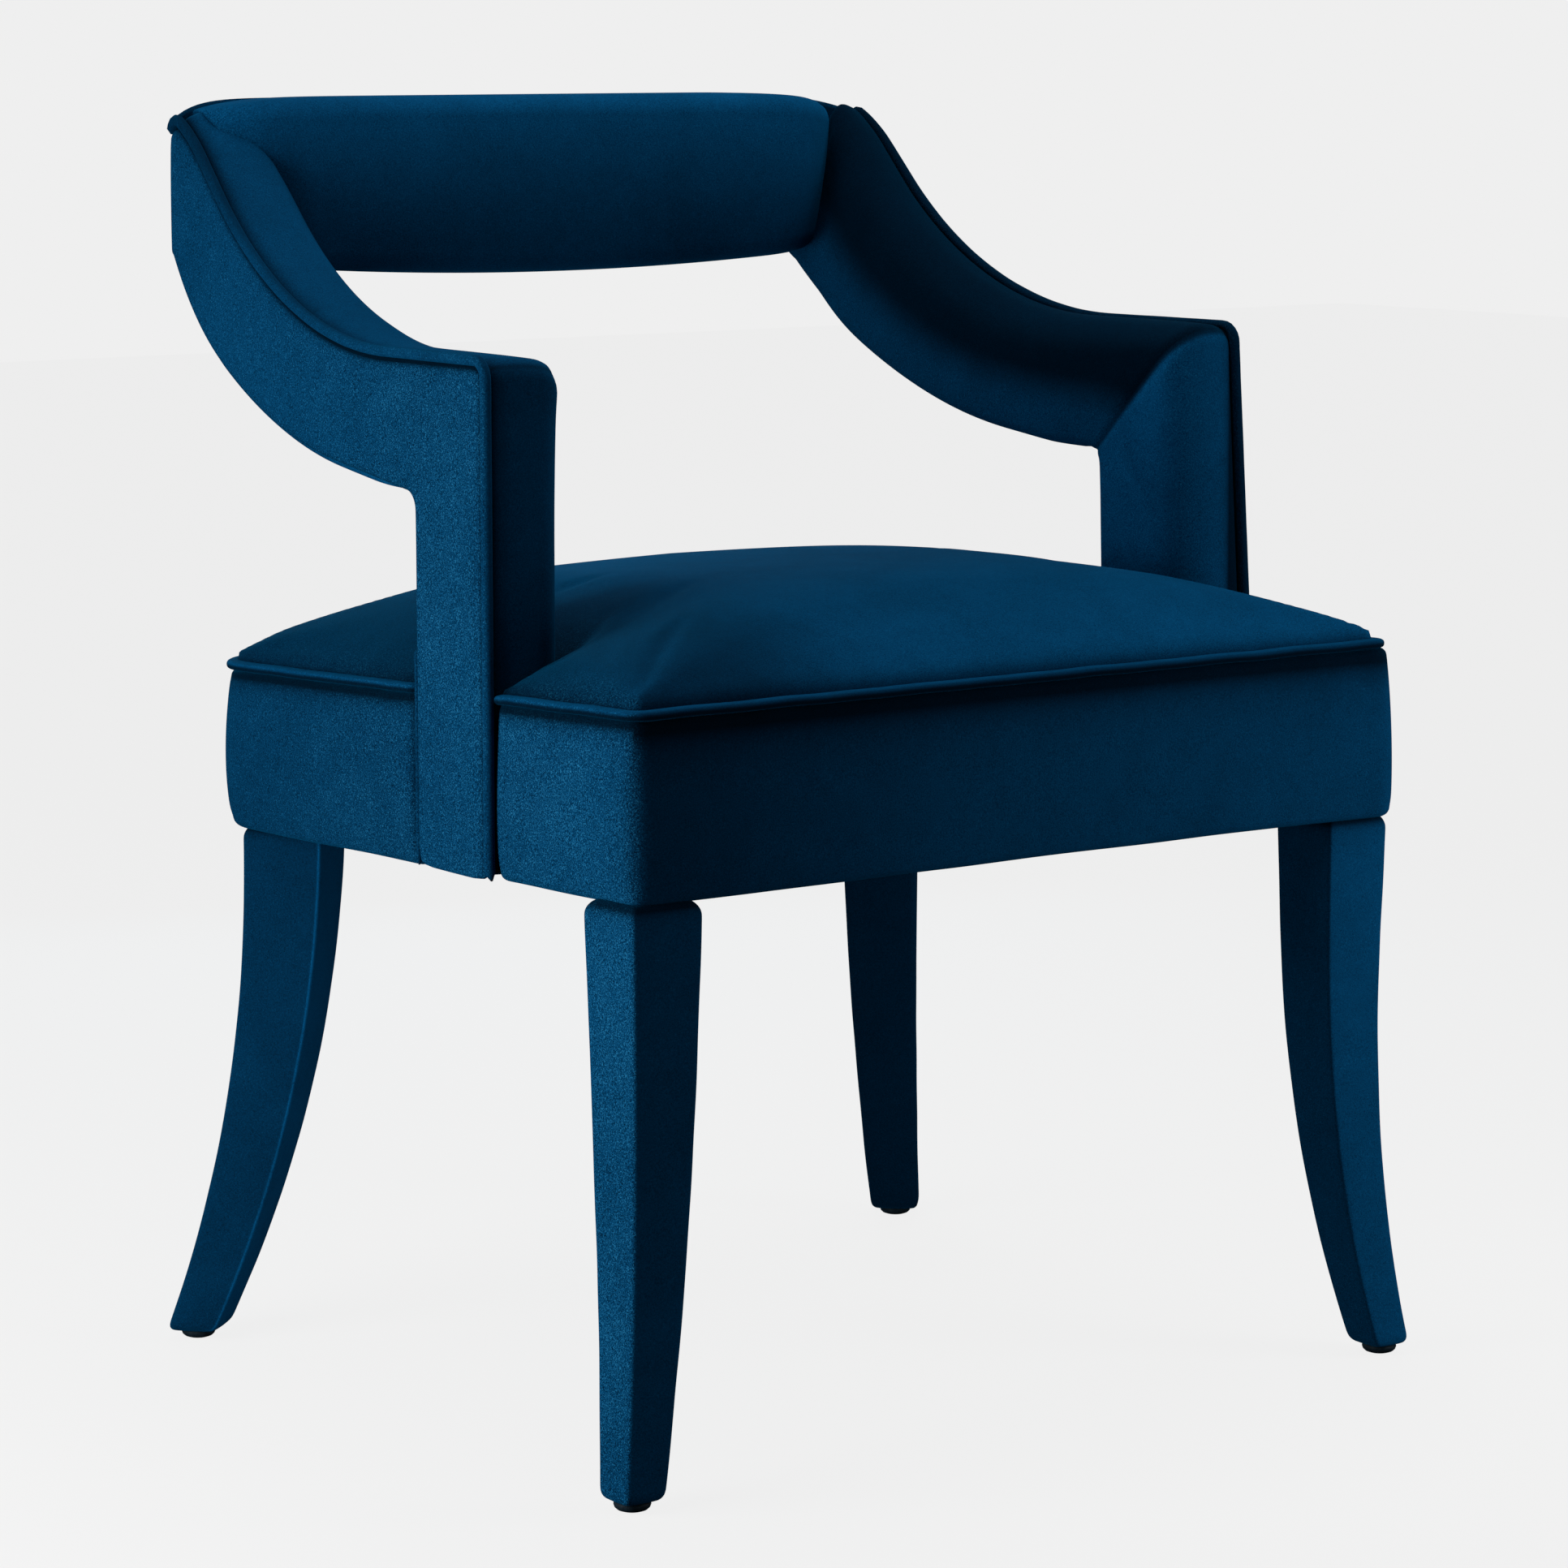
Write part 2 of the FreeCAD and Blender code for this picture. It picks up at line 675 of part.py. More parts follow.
piping_centre = size("welt_radius") / 2
upper_edges = top_line()
post_corner = upper_edges[0].firstVertex(True).Point
post_edge = Part.makeLine(arm_point(size("post_front"), size("post_foot")), post_corner)
piping_path = Part.Wire([post_edge, *upper_edges])
piping_path.translate(Vector(-piping_centre, 0, 0))
arm_piping = tube(piping_path, size("welt_radius"))

thin_radius = size("welt_radius") / 2
thin_depth = size("post_back") - thin_radius - size("gap")
thin_ends = [arm_point(thin_depth, size(alias)) for alias in ("post_foot", "post_piping_top")]
thin_path = Part.Wire([Part.makeLine(*thin_ends)])
thin_path.translate(Vector(-thin_radius - size("gap"), 0, 0))
post_piping = tube(thin_path, thin_radius)
arm_panel = arm_panel.cut(tube(thin_path, thin_radius + size("gap")))

# Two bolts per side hold the post in the side rail's notch.
bolt_depth = (size("post_front") + size("post_back")) / 2
bolt_heights = [underside(bolt_depth) + size(alias) for alias in ("lower_arm_bolt", "upper_arm_bolt")]
bolt_inner_end = size("side_rail_inner") - size("arm_bolt_head_depth")


def arm_bolt(height, clearance=0.0, headed=True):
    """A bolt along X through rail and post, with its round head against the rail's inner face."""
    y = size("front_plane") + bolt_depth
    outer_end = size("arm_outer_face") - size("panel_depth") - size("arm_bolt_end")
    shank = Part.makeCylinder(
        size("arm_bolt_radius") + clearance, outer_end - size("side_rail_inner") + clearance,
        Vector(size("side_rail_inner"), y, height), Vector(1, 0, 0))
    if not headed:
        return shank
    head = Part.makeCylinder(
        size("arm_bolt_head_radius"), size("arm_bolt_head_depth"),
        Vector(bolt_inner_end, y, height), Vector(1, 0, 0))
    return shank.fuse(head)


bore_clearance = size("bore_clearance")
lower_hole, upper_hole = [arm_bolt(height, bore_clearance, False) for height in bolt_heights]
bolt_holes = lower_hole.fuse(upper_hole)
left_bolts = [arm_bolt(height) for height in bolt_heights]
right_bolts = [bolt.mirror(Vector(), Vector(1, 0, 0)) for bolt in left_bolts]
solid_feature("arm_bolts", Part.makeCompound(left_bolts + right_bolts))

post_left = solid_feature("arm_post_left", splayed(arm_post).cut(bolt_holes))
mirrored("arm_post_right", post_left)
both_arms("arm_rail", arm_rail)
both_arms("arm_foam", arm_foam)
both_arms("arm_cover", arm_cover)
both_arms("arm_panel", arm_panel)
both_arms("arm_piping", arm_piping)
both_arms("post_piping", post_piping)

rail_bolt_holes = document.addObject("Part::Feature", "rail_bolt_holes")
rail_bolt_holes.Shape = bolt_holes
side_rail_bored = boolean("Cut", "side_rail_left", side_rail_notched, rail_bolt_holes)
side_rail_left = keep("side_rail_left", side_rail_bored)
mirrored("side_rail_right", side_rail_left)

# ---------------------------------------------------------------- backrest


def back_slab(inset, front, rear):
    """The backrest band, bowed along its top and bottom edges, between two depths."""
    half = size("back_half_width") - inset
    y = size("front_plane") + front
    top_corner = size("back_corner_top") - inset
    foot_corner = size("back_corner_foot") + inset
    top_middle = Vector(0, y, size("back_centre_top") - inset)
    foot_middle = Vector(0, y, size("back_centre_foot") + inset)
    top = Part.Arc(Vector(-half, y, top_corner), top_middle, Vector(half, y, top_corner))
    foot = Part.Arc(Vector(-half, y, foot_corner), foot_middle, Vector(half, y, foot_corner))
    sides = [
        Part.makeLine(Vector(-half, y, foot_corner), Vector(-half, y, top_corner)),
        Part.makeLine(Vector(half, y, foot_corner), Vector(half, y, top_corner)),
    ]
    face = Part.Face(Part.Wire(Part.__sortEdges__([top.toShape(), foot.toShape(), *sides])))
    return face.extrude(Vector(0, rear - front, 0))


def rounded_front(slab, front, radius):
    """Rounds the long upper and lower front edges of the backrest band."""
    y = size("front_plane") + front
    rims = []
    for edge in slab.Edges:
        box = edge.BoundBox
        in_face = abs(box.YMin - y) < CLOSE and abs(box.YMax - y) < CLOSE
        if box.XLength > size("back_half_width") and in_face:
            rims.append(edge)
    return slab.makeFillet(radius, rims)


face_depth = size("back_face")
back_rounding = size("back_rounding")
back_cover_body = rounded_front(back_slab(0, face_depth, pad_rear), face_depth, back_rounding)
cloth = size("cloth")
foam_gap = size("gap") / 3
foam_front = face_depth + cloth
foam_rounding = back_rounding - cloth
foam_body_front = foam_front + foam_gap
back_foam_room = rounded_front(
    back_slab(cloth, foam_front, pad_rear + OVERCUT), foam_front, foam_rounding)
back_foam_body = rounded_front(
    back_slab(cloth + foam_gap, foam_body_front, pad_rear), foam_body_front, foam_rounding)
board_front = pad_rear - size("back_board_depth")
board_inset = size("frame_inset")
back_board_body = back_slab(board_inset, board_front, pad_rear - foam_gap)
board_room = back_slab(board_inset - foam_gap, board_front - foam_gap, pad_rear + OVERCUT)
solid_feature("back_cover", back_cover_body.cut(back_foam_room))
solid_feature("back_foam", back_foam_body.cut(board_room))

screw_depth = pad_rear - size("back_board_depth") / 2
screw_margin = size("screw_margin")
screw_heights = (size("back_corner_foot") + screw_margin, size("back_corner_top") - screw_margin)
board_end = size("back_half_width") - board_inset


def back_screw(height, clearance=0.0):
    """A long screw along X from the board's end towards its middle."""
    start = Vector(board_end - size("screw_length"), size("front_plane") + screw_depth, height)
    return Part.makeCylinder(
        size("screw_radius") + clearance, size("screw_length") + clearance, start, Vector(1, 0, 0))


board_holes = [back_screw(height, bore_clearance) for height in screw_heights]
board_holes += [hole.mirror(Vector(), Vector(1, 0, 0)) for hole in board_holes]
solid_feature("back_board", back_board_body.cut(board_holes))
back_screws = [back_screw(height) for height in screw_heights]
back_screws += [screw.mirror(Vector(), Vector(1, 0, 0)) for screw in back_screws]
solid_feature("back_board_screws", Part.makeCompound(back_screws))


def back_outline(inset, front, rear):
    """The outer back panel, which covers the ends of both arms too."""
    y = size("front_plane") + front
    shift = math.tan(math.radians(size("arm_splay"))) * (size("rear_face") - size("post_front"))
    half = size("arm_outer_face") - shift - size("panel_depth") - 2 * size("gap") - inset
    shoulder = size("crest_height") - size("crest_radius") - inset
    foot = size("back_panel_corner_foot") + inset
    crown = size("back_centre_top") - size("welt_radius") - size("gap") - inset
    base = size("back_centre_foot") + inset
    points = [Vector(-half, y, shoulder), Vector(0, y, crown), Vector(half, y, shoulder)]
    lower = [Vector(half, y, foot), Vector(0, y, base), Vector(-half, y, foot)]
    edges = [
        Part.Arc(*points).toShape(),
        Part.makeLine(points[2], lower[0]),
        Part.Arc(*lower).toShape(),
        Part.makeLine(lower[2], points[0]),
    ]
    return Part.Face(Part.Wire(edges)).extrude(Vector(0, rear - front, 0))


solid_feature("back_panel", back_outline(0, pad_rear + size("gap"), size("rear_face")))

shoulder_x = size("back_half_width") + size("back_cord_overrun")
cord_y = size("front_plane") + pad_rear + size("welt_radius") + size("gap") / 3
back_cord = Part.Wire([Part.Arc(
    Vector(-shoulder_x, cord_y, size("crest_height") + size("gap")),
    Vector(0, cord_y, size("back_centre_top")),
    Vector(shoulder_x, cord_y, size("crest_height") + size("gap")),
).toShape()])
solid_feature("back_piping", tube(back_cord, size("welt_radius")))

# ---------------------------------------------------------------- seat upholstery

ring = seat_slab(0, 0, 0).cut(seat_slab(size("boxing_depth"), -OVERCUT, OVERCUT))
front_limit = size("post_front") - size("welt_radius") - 2 * size("gap")
rear_limit = size("post_back") + 2 * size("gap")
solid_feature("boxing_front", slice_of(ring, -FAR / 2, front_limit))
solid_feature("boxing_rear", slice_of(ring, rear_limit, FAR))


seam_line = seat_wire(-1, rim, size("welt_radius") + size("gap"))
whole_welt = tube(seam_line, size("welt_radius"))
solid_feature("seat_welt_front", slice_of(whole_welt, -FAR / 2, front_limit))
solid_feature("seat_welt_rear", slice_of(whole_welt, rear_limit, FAR))

welt_room = size("welt_room")
pad_slot = size("arm_outer_face") - size("arm_width") - size("pad_slot_clearance")
seat_cover = dome(welt_room).cut(dome(welt_room + cloth))
seat_cover = seat_cover.common(space_above(rim, size("gap")))
solid_feature("seat_cover", seat_cover.cut(post_slots(pad_slot)))
webbing_top = -size("rail_drop") + 2 * size("webbing_depth") + 3 * size("gap")
foam_block = seat_slab(core_inset, webbing_top, size("gap"), rim, rim)
foam_top = dome(welt_room + cloth + foam_gap).common(space_above(rim, size("gap")))
seat_foam = foam_block.fuse(foam_top)
solid_feature("seat_foam", seat_foam.cut(post_slots(pad_slot)))

dust_cover = seat_slab(core_inset, 0, size("dust_cover_depth"), underside, underside)
bolt_bore = size("leg_bolt_radius") + size("bore_clearance")
bolt_clearances = []
for leg in ("front_leg", "rear_leg"):
    for sign in (1, -1):
        centre = Vector(sign * size(f"{leg}_x"), size("front_plane") + size(f"{leg}_depth"), 0)
        bolt_clearances.append(Part.makeCylinder(bolt_bore, FAR, centre))
solid_feature("dust_cover", dust_cover.cut(bolt_clearances))


def strap(width, length, across, position, lift):
    """One webbing strap, lying on the sloping tops of the rails."""
    slope = math.degrees(math.atan(size("rim_fall") / size("seat_depth")))
    box = Part.makeBox(width, length, size("webbing_depth"))
    box.translate(Vector(-width / 2, 0, 0))
    if across:
        box = Part.makeBox(length, width, size("webbing_depth"))
        box.translate(Vector(-length / 2, -width / 2, 0))
        box.translate(Vector(0, position, 0))
    else:
        box.translate(Vector(position, size("webbing_margin"), 0))
    box.rotate(Vector(), Vector(1, 0, 0), -slope)
    box.translate(Vector(0, size("front_plane"), size("rim_front") - size("rail_drop") + lift))
    return box


strap_length = size("seat_depth") - 2 * size("webbing_margin")
strap_width = size("webbing_width")
lengthwise = [strap(strap_width, strap_length, False, x, size("gap")) for x in LENGTHWISE_STRAPS]
crosswise_lift = size("webbing_depth") + 2 * size("gap")
cross_length = 2 * (size("side_rail_inner") + size("webbing_landing"))
crosswise = [strap(strap_width, cross_length, True, back, crosswise_lift) for back in CROSSWISE_STRAPS]
solid_feature("webbing_lengthwise", Part.makeCompound(lengthwise))
solid_feature("webbing_crosswise", Part.makeCompound(crosswise))

# ---------------------------------------------------------------- leg bolts


def leg_bolt_parts(leg):
    """The hanger bolt of one leg on the left-hand side, and its washer and nut."""
    back = size(f"{leg}_depth")
    centre = Vector(size(f"{leg}_x"), size("front_plane") + back, 0)
    foot = underside(back) - size("leg_bolt_reach")
    washer_foot = rim(back) - size("rail_drop") - size("nut_recess")
    nut_foot = washer_foot + size("washer_depth")
    radius = size("leg_bolt_radius")
    length = nut_foot + size("nut_depth") + size("bolt_end_room") - foot
    bolt = Part.makeCylinder(radius, length, centre + Vector(0, 0, foot))
    washer_centre = centre + Vector(0, 0, washer_foot)
    washer = Part.makeCylinder(size("washer_radius"), size("washer_depth"), washer_centre)
    ring = [
        centre + Vector(size("nut_radius") * math.cos(a), size("nut_radius") * math.sin(a), nut_foot)
        for a in (math.radians(60 * i) for i in range(7))
    ]
    nut = Part.Face(Part.makePolygon(ring)).extrude(Vector(0, 0, size("nut_depth")))
    bore = Part.makeCylinder(bolt_bore, FAR, centre)
    return bolt, washer.fuse(nut).removeSplitter().cut(bore)


bolts = []
nuts = []
for leg in ("front_leg", "rear_leg"):
    bolt, nut = leg_bolt_parts(leg)
    bolts += [bolt, bolt.mirror(Vector(), Vector(1, 0, 0))]
    nuts += [nut, nut.mirror(Vector(), Vector(1, 0, 0))]
solid_feature("leg_hanger_bolts", Part.makeCompound(bolts))
solid_feature("leg_bolt_nuts", Part.makeCompound(nuts))

# ---------------------------------------------------------------- checks and output

document.recompute()
for thing in document.Objects:
    if "Invalid" in thing.State or "Error" in thing.State:
        raise RuntimeError(f"{thing.Label} failed to build: {thing.State}")

os.makedirs("parts", exist_ok=True)
for label, thing in sorted(parts.items()):
    shape = thing.Shape
    if shape.isNull() or not shape.isValid() or shape.Volume <= 0:
        raise RuntimeError(f"{label} is not a sound solid")
    shape.exportStep(f"parts/{label}.step")
    box = shape.BoundBox
    extents = (("x", box.XMin, box.XMax), ("y", box.YMin, box.YMax), ("z", box.ZMin, box.ZMax))
    spans = " ".join(f"{axis} {low:.1f}..{high:.1f}" for axis, low, high in extents)
    print(f"{label}: {len(shape.Solids)} solid(s), {shape.Volume / 1000:.1f} cm3, {spans}")
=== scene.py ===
import json
import math
from math import pi

import bmesh
import bpy
import numpy as np
from numpy import concatenate as concat
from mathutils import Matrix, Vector, noise
from mathutils.kdtree import KDTree


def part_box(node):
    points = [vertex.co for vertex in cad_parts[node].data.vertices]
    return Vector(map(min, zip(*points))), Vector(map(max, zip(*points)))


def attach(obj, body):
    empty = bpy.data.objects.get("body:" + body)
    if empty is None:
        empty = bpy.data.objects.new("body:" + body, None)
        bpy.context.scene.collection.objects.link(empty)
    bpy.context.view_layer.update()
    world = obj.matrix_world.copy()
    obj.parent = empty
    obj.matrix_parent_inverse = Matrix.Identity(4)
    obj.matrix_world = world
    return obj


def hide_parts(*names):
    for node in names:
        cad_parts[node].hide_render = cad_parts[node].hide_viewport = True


# The looks of a velvet armchair, built round its CAD frame. Metres, +Z up, the sitter faces -Y.
# "v" is a depth behind the seat's front plane, and "p" a distance inwards from an arm's outer plane.
# "Left" is the sitter's left, +X. Side pieces are drawn on the left and mirrored where sign is -1.

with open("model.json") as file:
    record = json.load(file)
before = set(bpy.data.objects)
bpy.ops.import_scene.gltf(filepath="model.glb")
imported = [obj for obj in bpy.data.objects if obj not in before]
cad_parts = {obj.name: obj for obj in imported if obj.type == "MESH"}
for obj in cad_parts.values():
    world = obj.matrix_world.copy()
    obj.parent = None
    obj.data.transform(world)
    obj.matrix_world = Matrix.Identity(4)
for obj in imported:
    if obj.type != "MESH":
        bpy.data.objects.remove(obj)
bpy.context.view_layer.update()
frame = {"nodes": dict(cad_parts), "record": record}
scene = bpy.context.scene

# -------- places taken from the CAD frame

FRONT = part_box("boxing_front")[0].y
SEAT_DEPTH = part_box("boxing_rear")[1].y - FRONT
REAR_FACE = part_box("back_panel")[1].y - FRONT

# -------- dimensions shared with the CAD model

# pairs: at the seat's front, and at its rear
UNDERSIDE = (0.354, 0.3435)
RIM = (0.457, 0.440)
SEAT_HALF = (0.291, 0.2825)
CORNER_RADII = (0.010, 0.048)
CROWN = 0.061
SPLAY = math.radians(2.68)
ARM_OUTER = 0.293
ARM_WIDTH = 0.051
ARM_INNER = ARM_OUTER - ARM_WIDTH
POST_FRONT = 0.146
POST_BACK = 0.229
POST_FOOT = 0.3460
PAD_FOOT = 0.446
PAD_REAR = 0.5273
PANEL_REAR = 0.5338
ARM_LEVEL = 0.653
BACK_FACE = 0.484
SIDES = (("left", 1), ("right", -1))

# -------- differences between the sides

# the pads differ in width, and the left post stands out a little at its foot
PAD_WIDTH = {"left": 0.0470, "right": 0.0582}
LEAN = {"left": 0.070, "right": 0.0}
# rounding across and down the pad's inner shoulder, on the arm and then on the post
SHOULDER = {"left": (0.024, 0.022, 0.030, 0.034), "right": (0.016, 0.010, 0.022, 0.024)}
# how far the pad's top falls towards its inner shoulder above the post
FALL = {"left": 0.0, "right": 0.0064}
# painted light and shade in the velvet's tone, set apart per side for how the light falls: on top of each arm, on
# the posts and on the cords
TOP_PAINTED_LIGHT = {"left": 0.05, "right": 0.41}
POST_PAINTED_LIGHT = {"left": 0.66, "right": 0.38}
CORD_PAINTED_LIGHT = {"left": 0.10, "right": 0.26}
# the same painted light and shade for each leg's faces towards -X and -Y
LEG_PAINTED_LIGHT = {
    ("front_leg", "right"): (0.36, 0.31),
    ("front_leg", "left"): (0.19, 0.50),
    ("rear_leg", "right"): (0.20, 0.95),
    ("rear_leg", "left"): (0.10, 0.14),
}

# -------- small tools


def mirrored(points, sign):
    """Points of the left side, or their mirror image."""
    return np.array(points) * (sign, 1.0, 1.0)


def chair_xyz(x, v, z):
    """Points in the chair's frame."""
    return np.stack(np.broadcast_arrays(x, FRONT + v, z), axis=-1)


def between(ends, v):
    """A value that changes evenly from front to rear."""
    return ends[0] + (ends[1] - ends[0]) * v / SEAT_DEPTH


def ease(value):
    """A smooth rise from 0 to 1."""
    t = np.clip(value, 0.0, 1.0)
    return t * t * (3 - 2 * t)


def fading(distance, start, reach):
    """1 up to the start, then dying away over the reach."""
    return np.exp(-np.maximum(distance - start, 0) / reach)


def facing(normals, axis, start, span):
    """From 0 to 1, how far each normal points down an axis."""
    return ease((-normals[:, axis] - start) / span)


def ripple(points, scale, seed):
    """Smooth noise at each point."""
    offset = Vector((seed * 7.31, seed * 3.17, seed * 5.71))
    return np.array([noise.noise(Vector(p) * scale + offset) for p in points])


def unit(vectors):
    """The same directions at length 1."""
    return vectors / np.linalg.norm(vectors, axis=-1, keepdims=True)


def circle(angles):
    """Points of the unit circle at these angles."""
    return np.stack([np.cos(angles), np.sin(angles)], axis=-1)


def full_circle(count):
    """Points spread evenly round the unit circle."""
    return circle(np.arange(count) * 2 * pi / count)


def steps(start, end, count):
    """Evenly spaced values from the start, without the end."""
    return np.linspace(start, end, count, endpoint=False)


def distances(line):
    """How far along a polyline its points lie."""
    return concat([[0], np.cumsum(np.linalg.norm(np.diff(line, axis=0), axis=1))])


def from_ends(line):
    """How far along a polyline its points lie from the nearer end."""
    along = distances(line)
    return np.minimum(along, along[-1] - along)


def resample(line, count):
    """Evenly spaced points along a polyline."""
    along = distances(line)
    marks = np.linspace(0, along[-1], count)
    return np.stack([np.interp(marks, along, line[:, k]) for k in range(line.shape[1])], axis=1)


def gap_to_line(points, line, samples=600):
    """How far each plane point lies from a polyline."""
    tree = KDTree(samples)
    for index, (first, second) in enumerate(resample(line, samples)):
        tree.insert((first, second, 0), index)
    tree.balance()
    return np.array([tree.find((first, second, 0))[2] for first, second in points])


# -------- mesh pieces


def new_piece(name, verts, faces):
    """A mesh object, its normals facing out."""
    mesh = bpy.data.meshes.new(name)
    mesh.from_pydata([tuple(map(float, p)) for p in verts], [], [tuple(map(int, f)) for f in faces])
    mesh.validate()
    form = bmesh.new()
    form.from_mesh(mesh)
    bmesh.ops.recalc_face_normals(form, faces=form.faces)
    form.to_mesh(mesh)
    form.free()
    piece = bpy.data.objects.new(name, mesh)
    scene.collection.objects.link(piece)
    return piece


def loft(name, rings):
    """A closed piece through rings of points, with a fan over each end."""
    rings = np.asarray(rings)
    count, size, _ = rings.shape
    last = (count - 1) * size
    hub = count * size
    around = [(column, (column + 1) % size) for column in range(size)]
    faces = [(row + near, row + far, row + size + far, row + size + near)
             for row in range(0, last, size) for near, far in around]
    for near, far in around:
        faces += [(hub, far, near), (hub + 1, last + near, last + far)]
    verts = [*rings.reshape(-1, 3), rings[0].mean(axis=0), rings[-1].mean(axis=0)]
    return new_piece(name, verts, faces)


def grid_faces(index):
    """Quads over a grid of vertex numbers."""
    quads = np.stack([index[:-1, :-1], index[:-1, 1:], index[1:, 1:], index[1:, :-1]], axis=-1)
    return quads.reshape(-1, 4)


def grid_border(index):
    """The vertex numbers round the border of a grid."""
    return concat([index[0], index[1:, -1], index[-1, -2::-1], index[-2:0:-1, 0]])


def skirt(upper, lower):
    """Quads between two loops of vertex numbers."""
    return list(zip(upper, np.roll(upper, -1), np.roll(lower, -1), lower))


def tube(name, path, radii, sides, up=(0, 0, 1)):
    """A cord along a path, with a radius at each point."""
    tangents = unit(np.gradient(path, axis=0))
    side = np.cross(tangents[0], up)
    rim = full_circle(sides)
    rings = []
    for point, tangent, radius in zip(path, tangents, radii):
        side = unit(side - tangent * (side @ tangent))
        rings.append(point + radius * rim @ np.array([side, np.cross(side, tangent)]))
    return loft(name, rings)


def blunt_radii(path, radius, end_length=0.004):
    """A radius for each point of a path with blunt ends."""
    to_end = np.clip(from_ends(path) / end_length, 0.03, 1)
    return radius * np.sqrt(1 - (1 - to_end) ** 2)


def read_vectors(elements, attribute):
    """An attribute of mesh elements, one per row."""
    values = np.empty(len(elements) * 3)
    elements.foreach_get(attribute, values)
    return values.reshape(-1, 3)


def points_of(piece):
    """The piece's vertices."""
    return read_vectors(piece.data.vertices, "co")


def normals_of(piece):
    """The piece's vertex normals."""
    return read_vectors(piece.data.vertex_normals, "vector")


def move_vertices(piece, points):
    """Puts the vertices at these points."""
    piece.data.vertices.foreach_set("co", np.asarray(points).reshape(-1))
    piece.data.update()


def displace(piece, amounts):
    """Moves the vertices along their normals."""
    move_vertices(piece, points_of(piece) + normals_of(piece) * amounts[:, None])


def evaluated(piece):
    """The piece as its modifiers make it."""
    return piece.evaluated_get(bpy.context.evaluated_depsgraph_get())


def apply_modifiers(piece):
    """Makes the modifiers' result the piece's mesh."""
    mesh = bpy.data.meshes.new_from_object(evaluated(piece))
    piece.modifiers.clear()
    piece.data = mesh


def subdivide(piece):
    """Subdivides the piece once."""
    piece.modifiers.new("smooth", "SUBSURF").levels = 1
    apply_modifiers(piece)


# -------- padding

CLOTH_FRAMES = 20
CLOTH_SETTINGS = {
    "quality": 6,
    "mass": 0.3,
    "tension_stiffness": 25.0,
    "compression_stiffness": 25.0,
    "shear_stiffness": 25.0 / 3,
    "bending_stiffness": 0.6,
    "use_pressure": True,
}


def ring_pins(count, size):
    """Pin strengths for a lofted piece's vertices, and the same numbers ring by ring."""
    pinned = np.zeros(count * size + 2)
    pinned[-2:] = 1
    return pinned, pinned[:-2].reshape(count, size)


def inflate(piece, pinned, cap, pressure=4.0):
    """Lets the padding push the cloth out between its pins, by no more than cap."""
    rest = points_of(piece)
    group = piece.vertex_groups.new(name="pinned")
    for index in np.nonzero(pinned > 0)[0]:
        group.add([int(index)], float(pinned[index]), "REPLACE")
    cloth = piece.modifiers.new("cloth", "CLOTH")
    for key, value in CLOTH_SETTINGS.items():
        setattr(cloth.settings, key, value)
    cloth.settings.uniform_pressure_force = pressure
    cloth.settings.vertex_group_mass = group.name
    cloth.settings.effector_weights.gravity = 0
    cloth.collision_settings.use_collision = False
    for step in range(1, CLOTH_FRAMES + 1):
        scene.frame_set(step)
    shift = points_of(evaluated(piece)) - rest
    length = np.linalg.norm(shift, axis=1, keepdims=True)
    shift *= cap * np.tanh(length / cap) / np.maximum(length, 1e-9)
    piece.modifiers.clear()
    piece.vertex_groups.clear()
    scene.frame_set(1)
    move_vertices(piece, rest + shift)


# -------- materials

# the velvet's colour runs from DEEP, in full painted shade, to LIT, in full painted light; GLINT is a painted
# highlight
DEEP = (0.0, 0.002, 0.005)
LIT = (0.002, 0.105, 0.280)
GLINT = (0.035, 0.225, 0.350)
NOISE = "ShaderNodeTexNoise"
CELLS = "ShaderNodeTexVoronoi"


def node(tree, kind, inputs=None, **settings):
    """A shader node."""
    made = tree.nodes.new(kind)
    for key, value in settings.items():
        setattr(made, key, value)
    for key, value in (inputs or {}).items():
        made.inputs[key].default_value = value
    return made


def start_material(name, constants):
    """A material with these shader constants, its tree and its shader."""
    material = bpy.data.materials.new(name)
    material.use_nodes = True
    shader = material.node_tree.nodes["Principled BSDF"]
    for key, value in constants.items():
        shader.inputs[key].default_value = value
    return material, material.node_tree, shader


def texture(tree, kind, inputs, stretch=None):
    """A procedural texture in object coordinates."""
    made = node(tree, kind, inputs)
    place = tree.nodes.new("ShaderNodeTexCoord").outputs["Object"]
    if stretch:
        mapping = node(tree, "ShaderNodeMapping", {"Scale": stretch})
        tree.links.new(place, mapping.inputs["Vector"])
        place = mapping.outputs["Vector"]
    tree.links.new(place, made.inputs["Vector"])
    return made.outputs[0]


def ramp(tree, source, stops):
    """A colour ramp over a value."""
    made = tree.nodes.new("ShaderNodeValToRGB")
    tree.links.new(source, made.inputs["Fac"])
    for element, (position, colour) in zip(made.color_ramp.elements, stops):
        element.position = position
        element.color = (*colour, 1)
    return made.outputs["Color"]


def maths(tree, operation, first, second):
    """The result of an arithmetic node; each input is a socket or a number."""
    made = tree.nodes.new("ShaderNodeMath")
    made.operation = operation
    for socket, value in zip(made.inputs, (first, second)):
        if isinstance(value, (int, float)):
            socket.default_value = value
        else:
            tree.links.new(value, socket)
    return made.outputs["Value"]


def add_bump(tree, shader, height, strength, distance):
    """Roughens a shader's normal by a height."""
    bump = node(tree, "ShaderNodeBump", {"Strength": strength, "Distance": distance})
    tree.links.new(height, bump.inputs["Height"])
    tree.links.new(bump.outputs["Normal"], shader.inputs["Normal"])


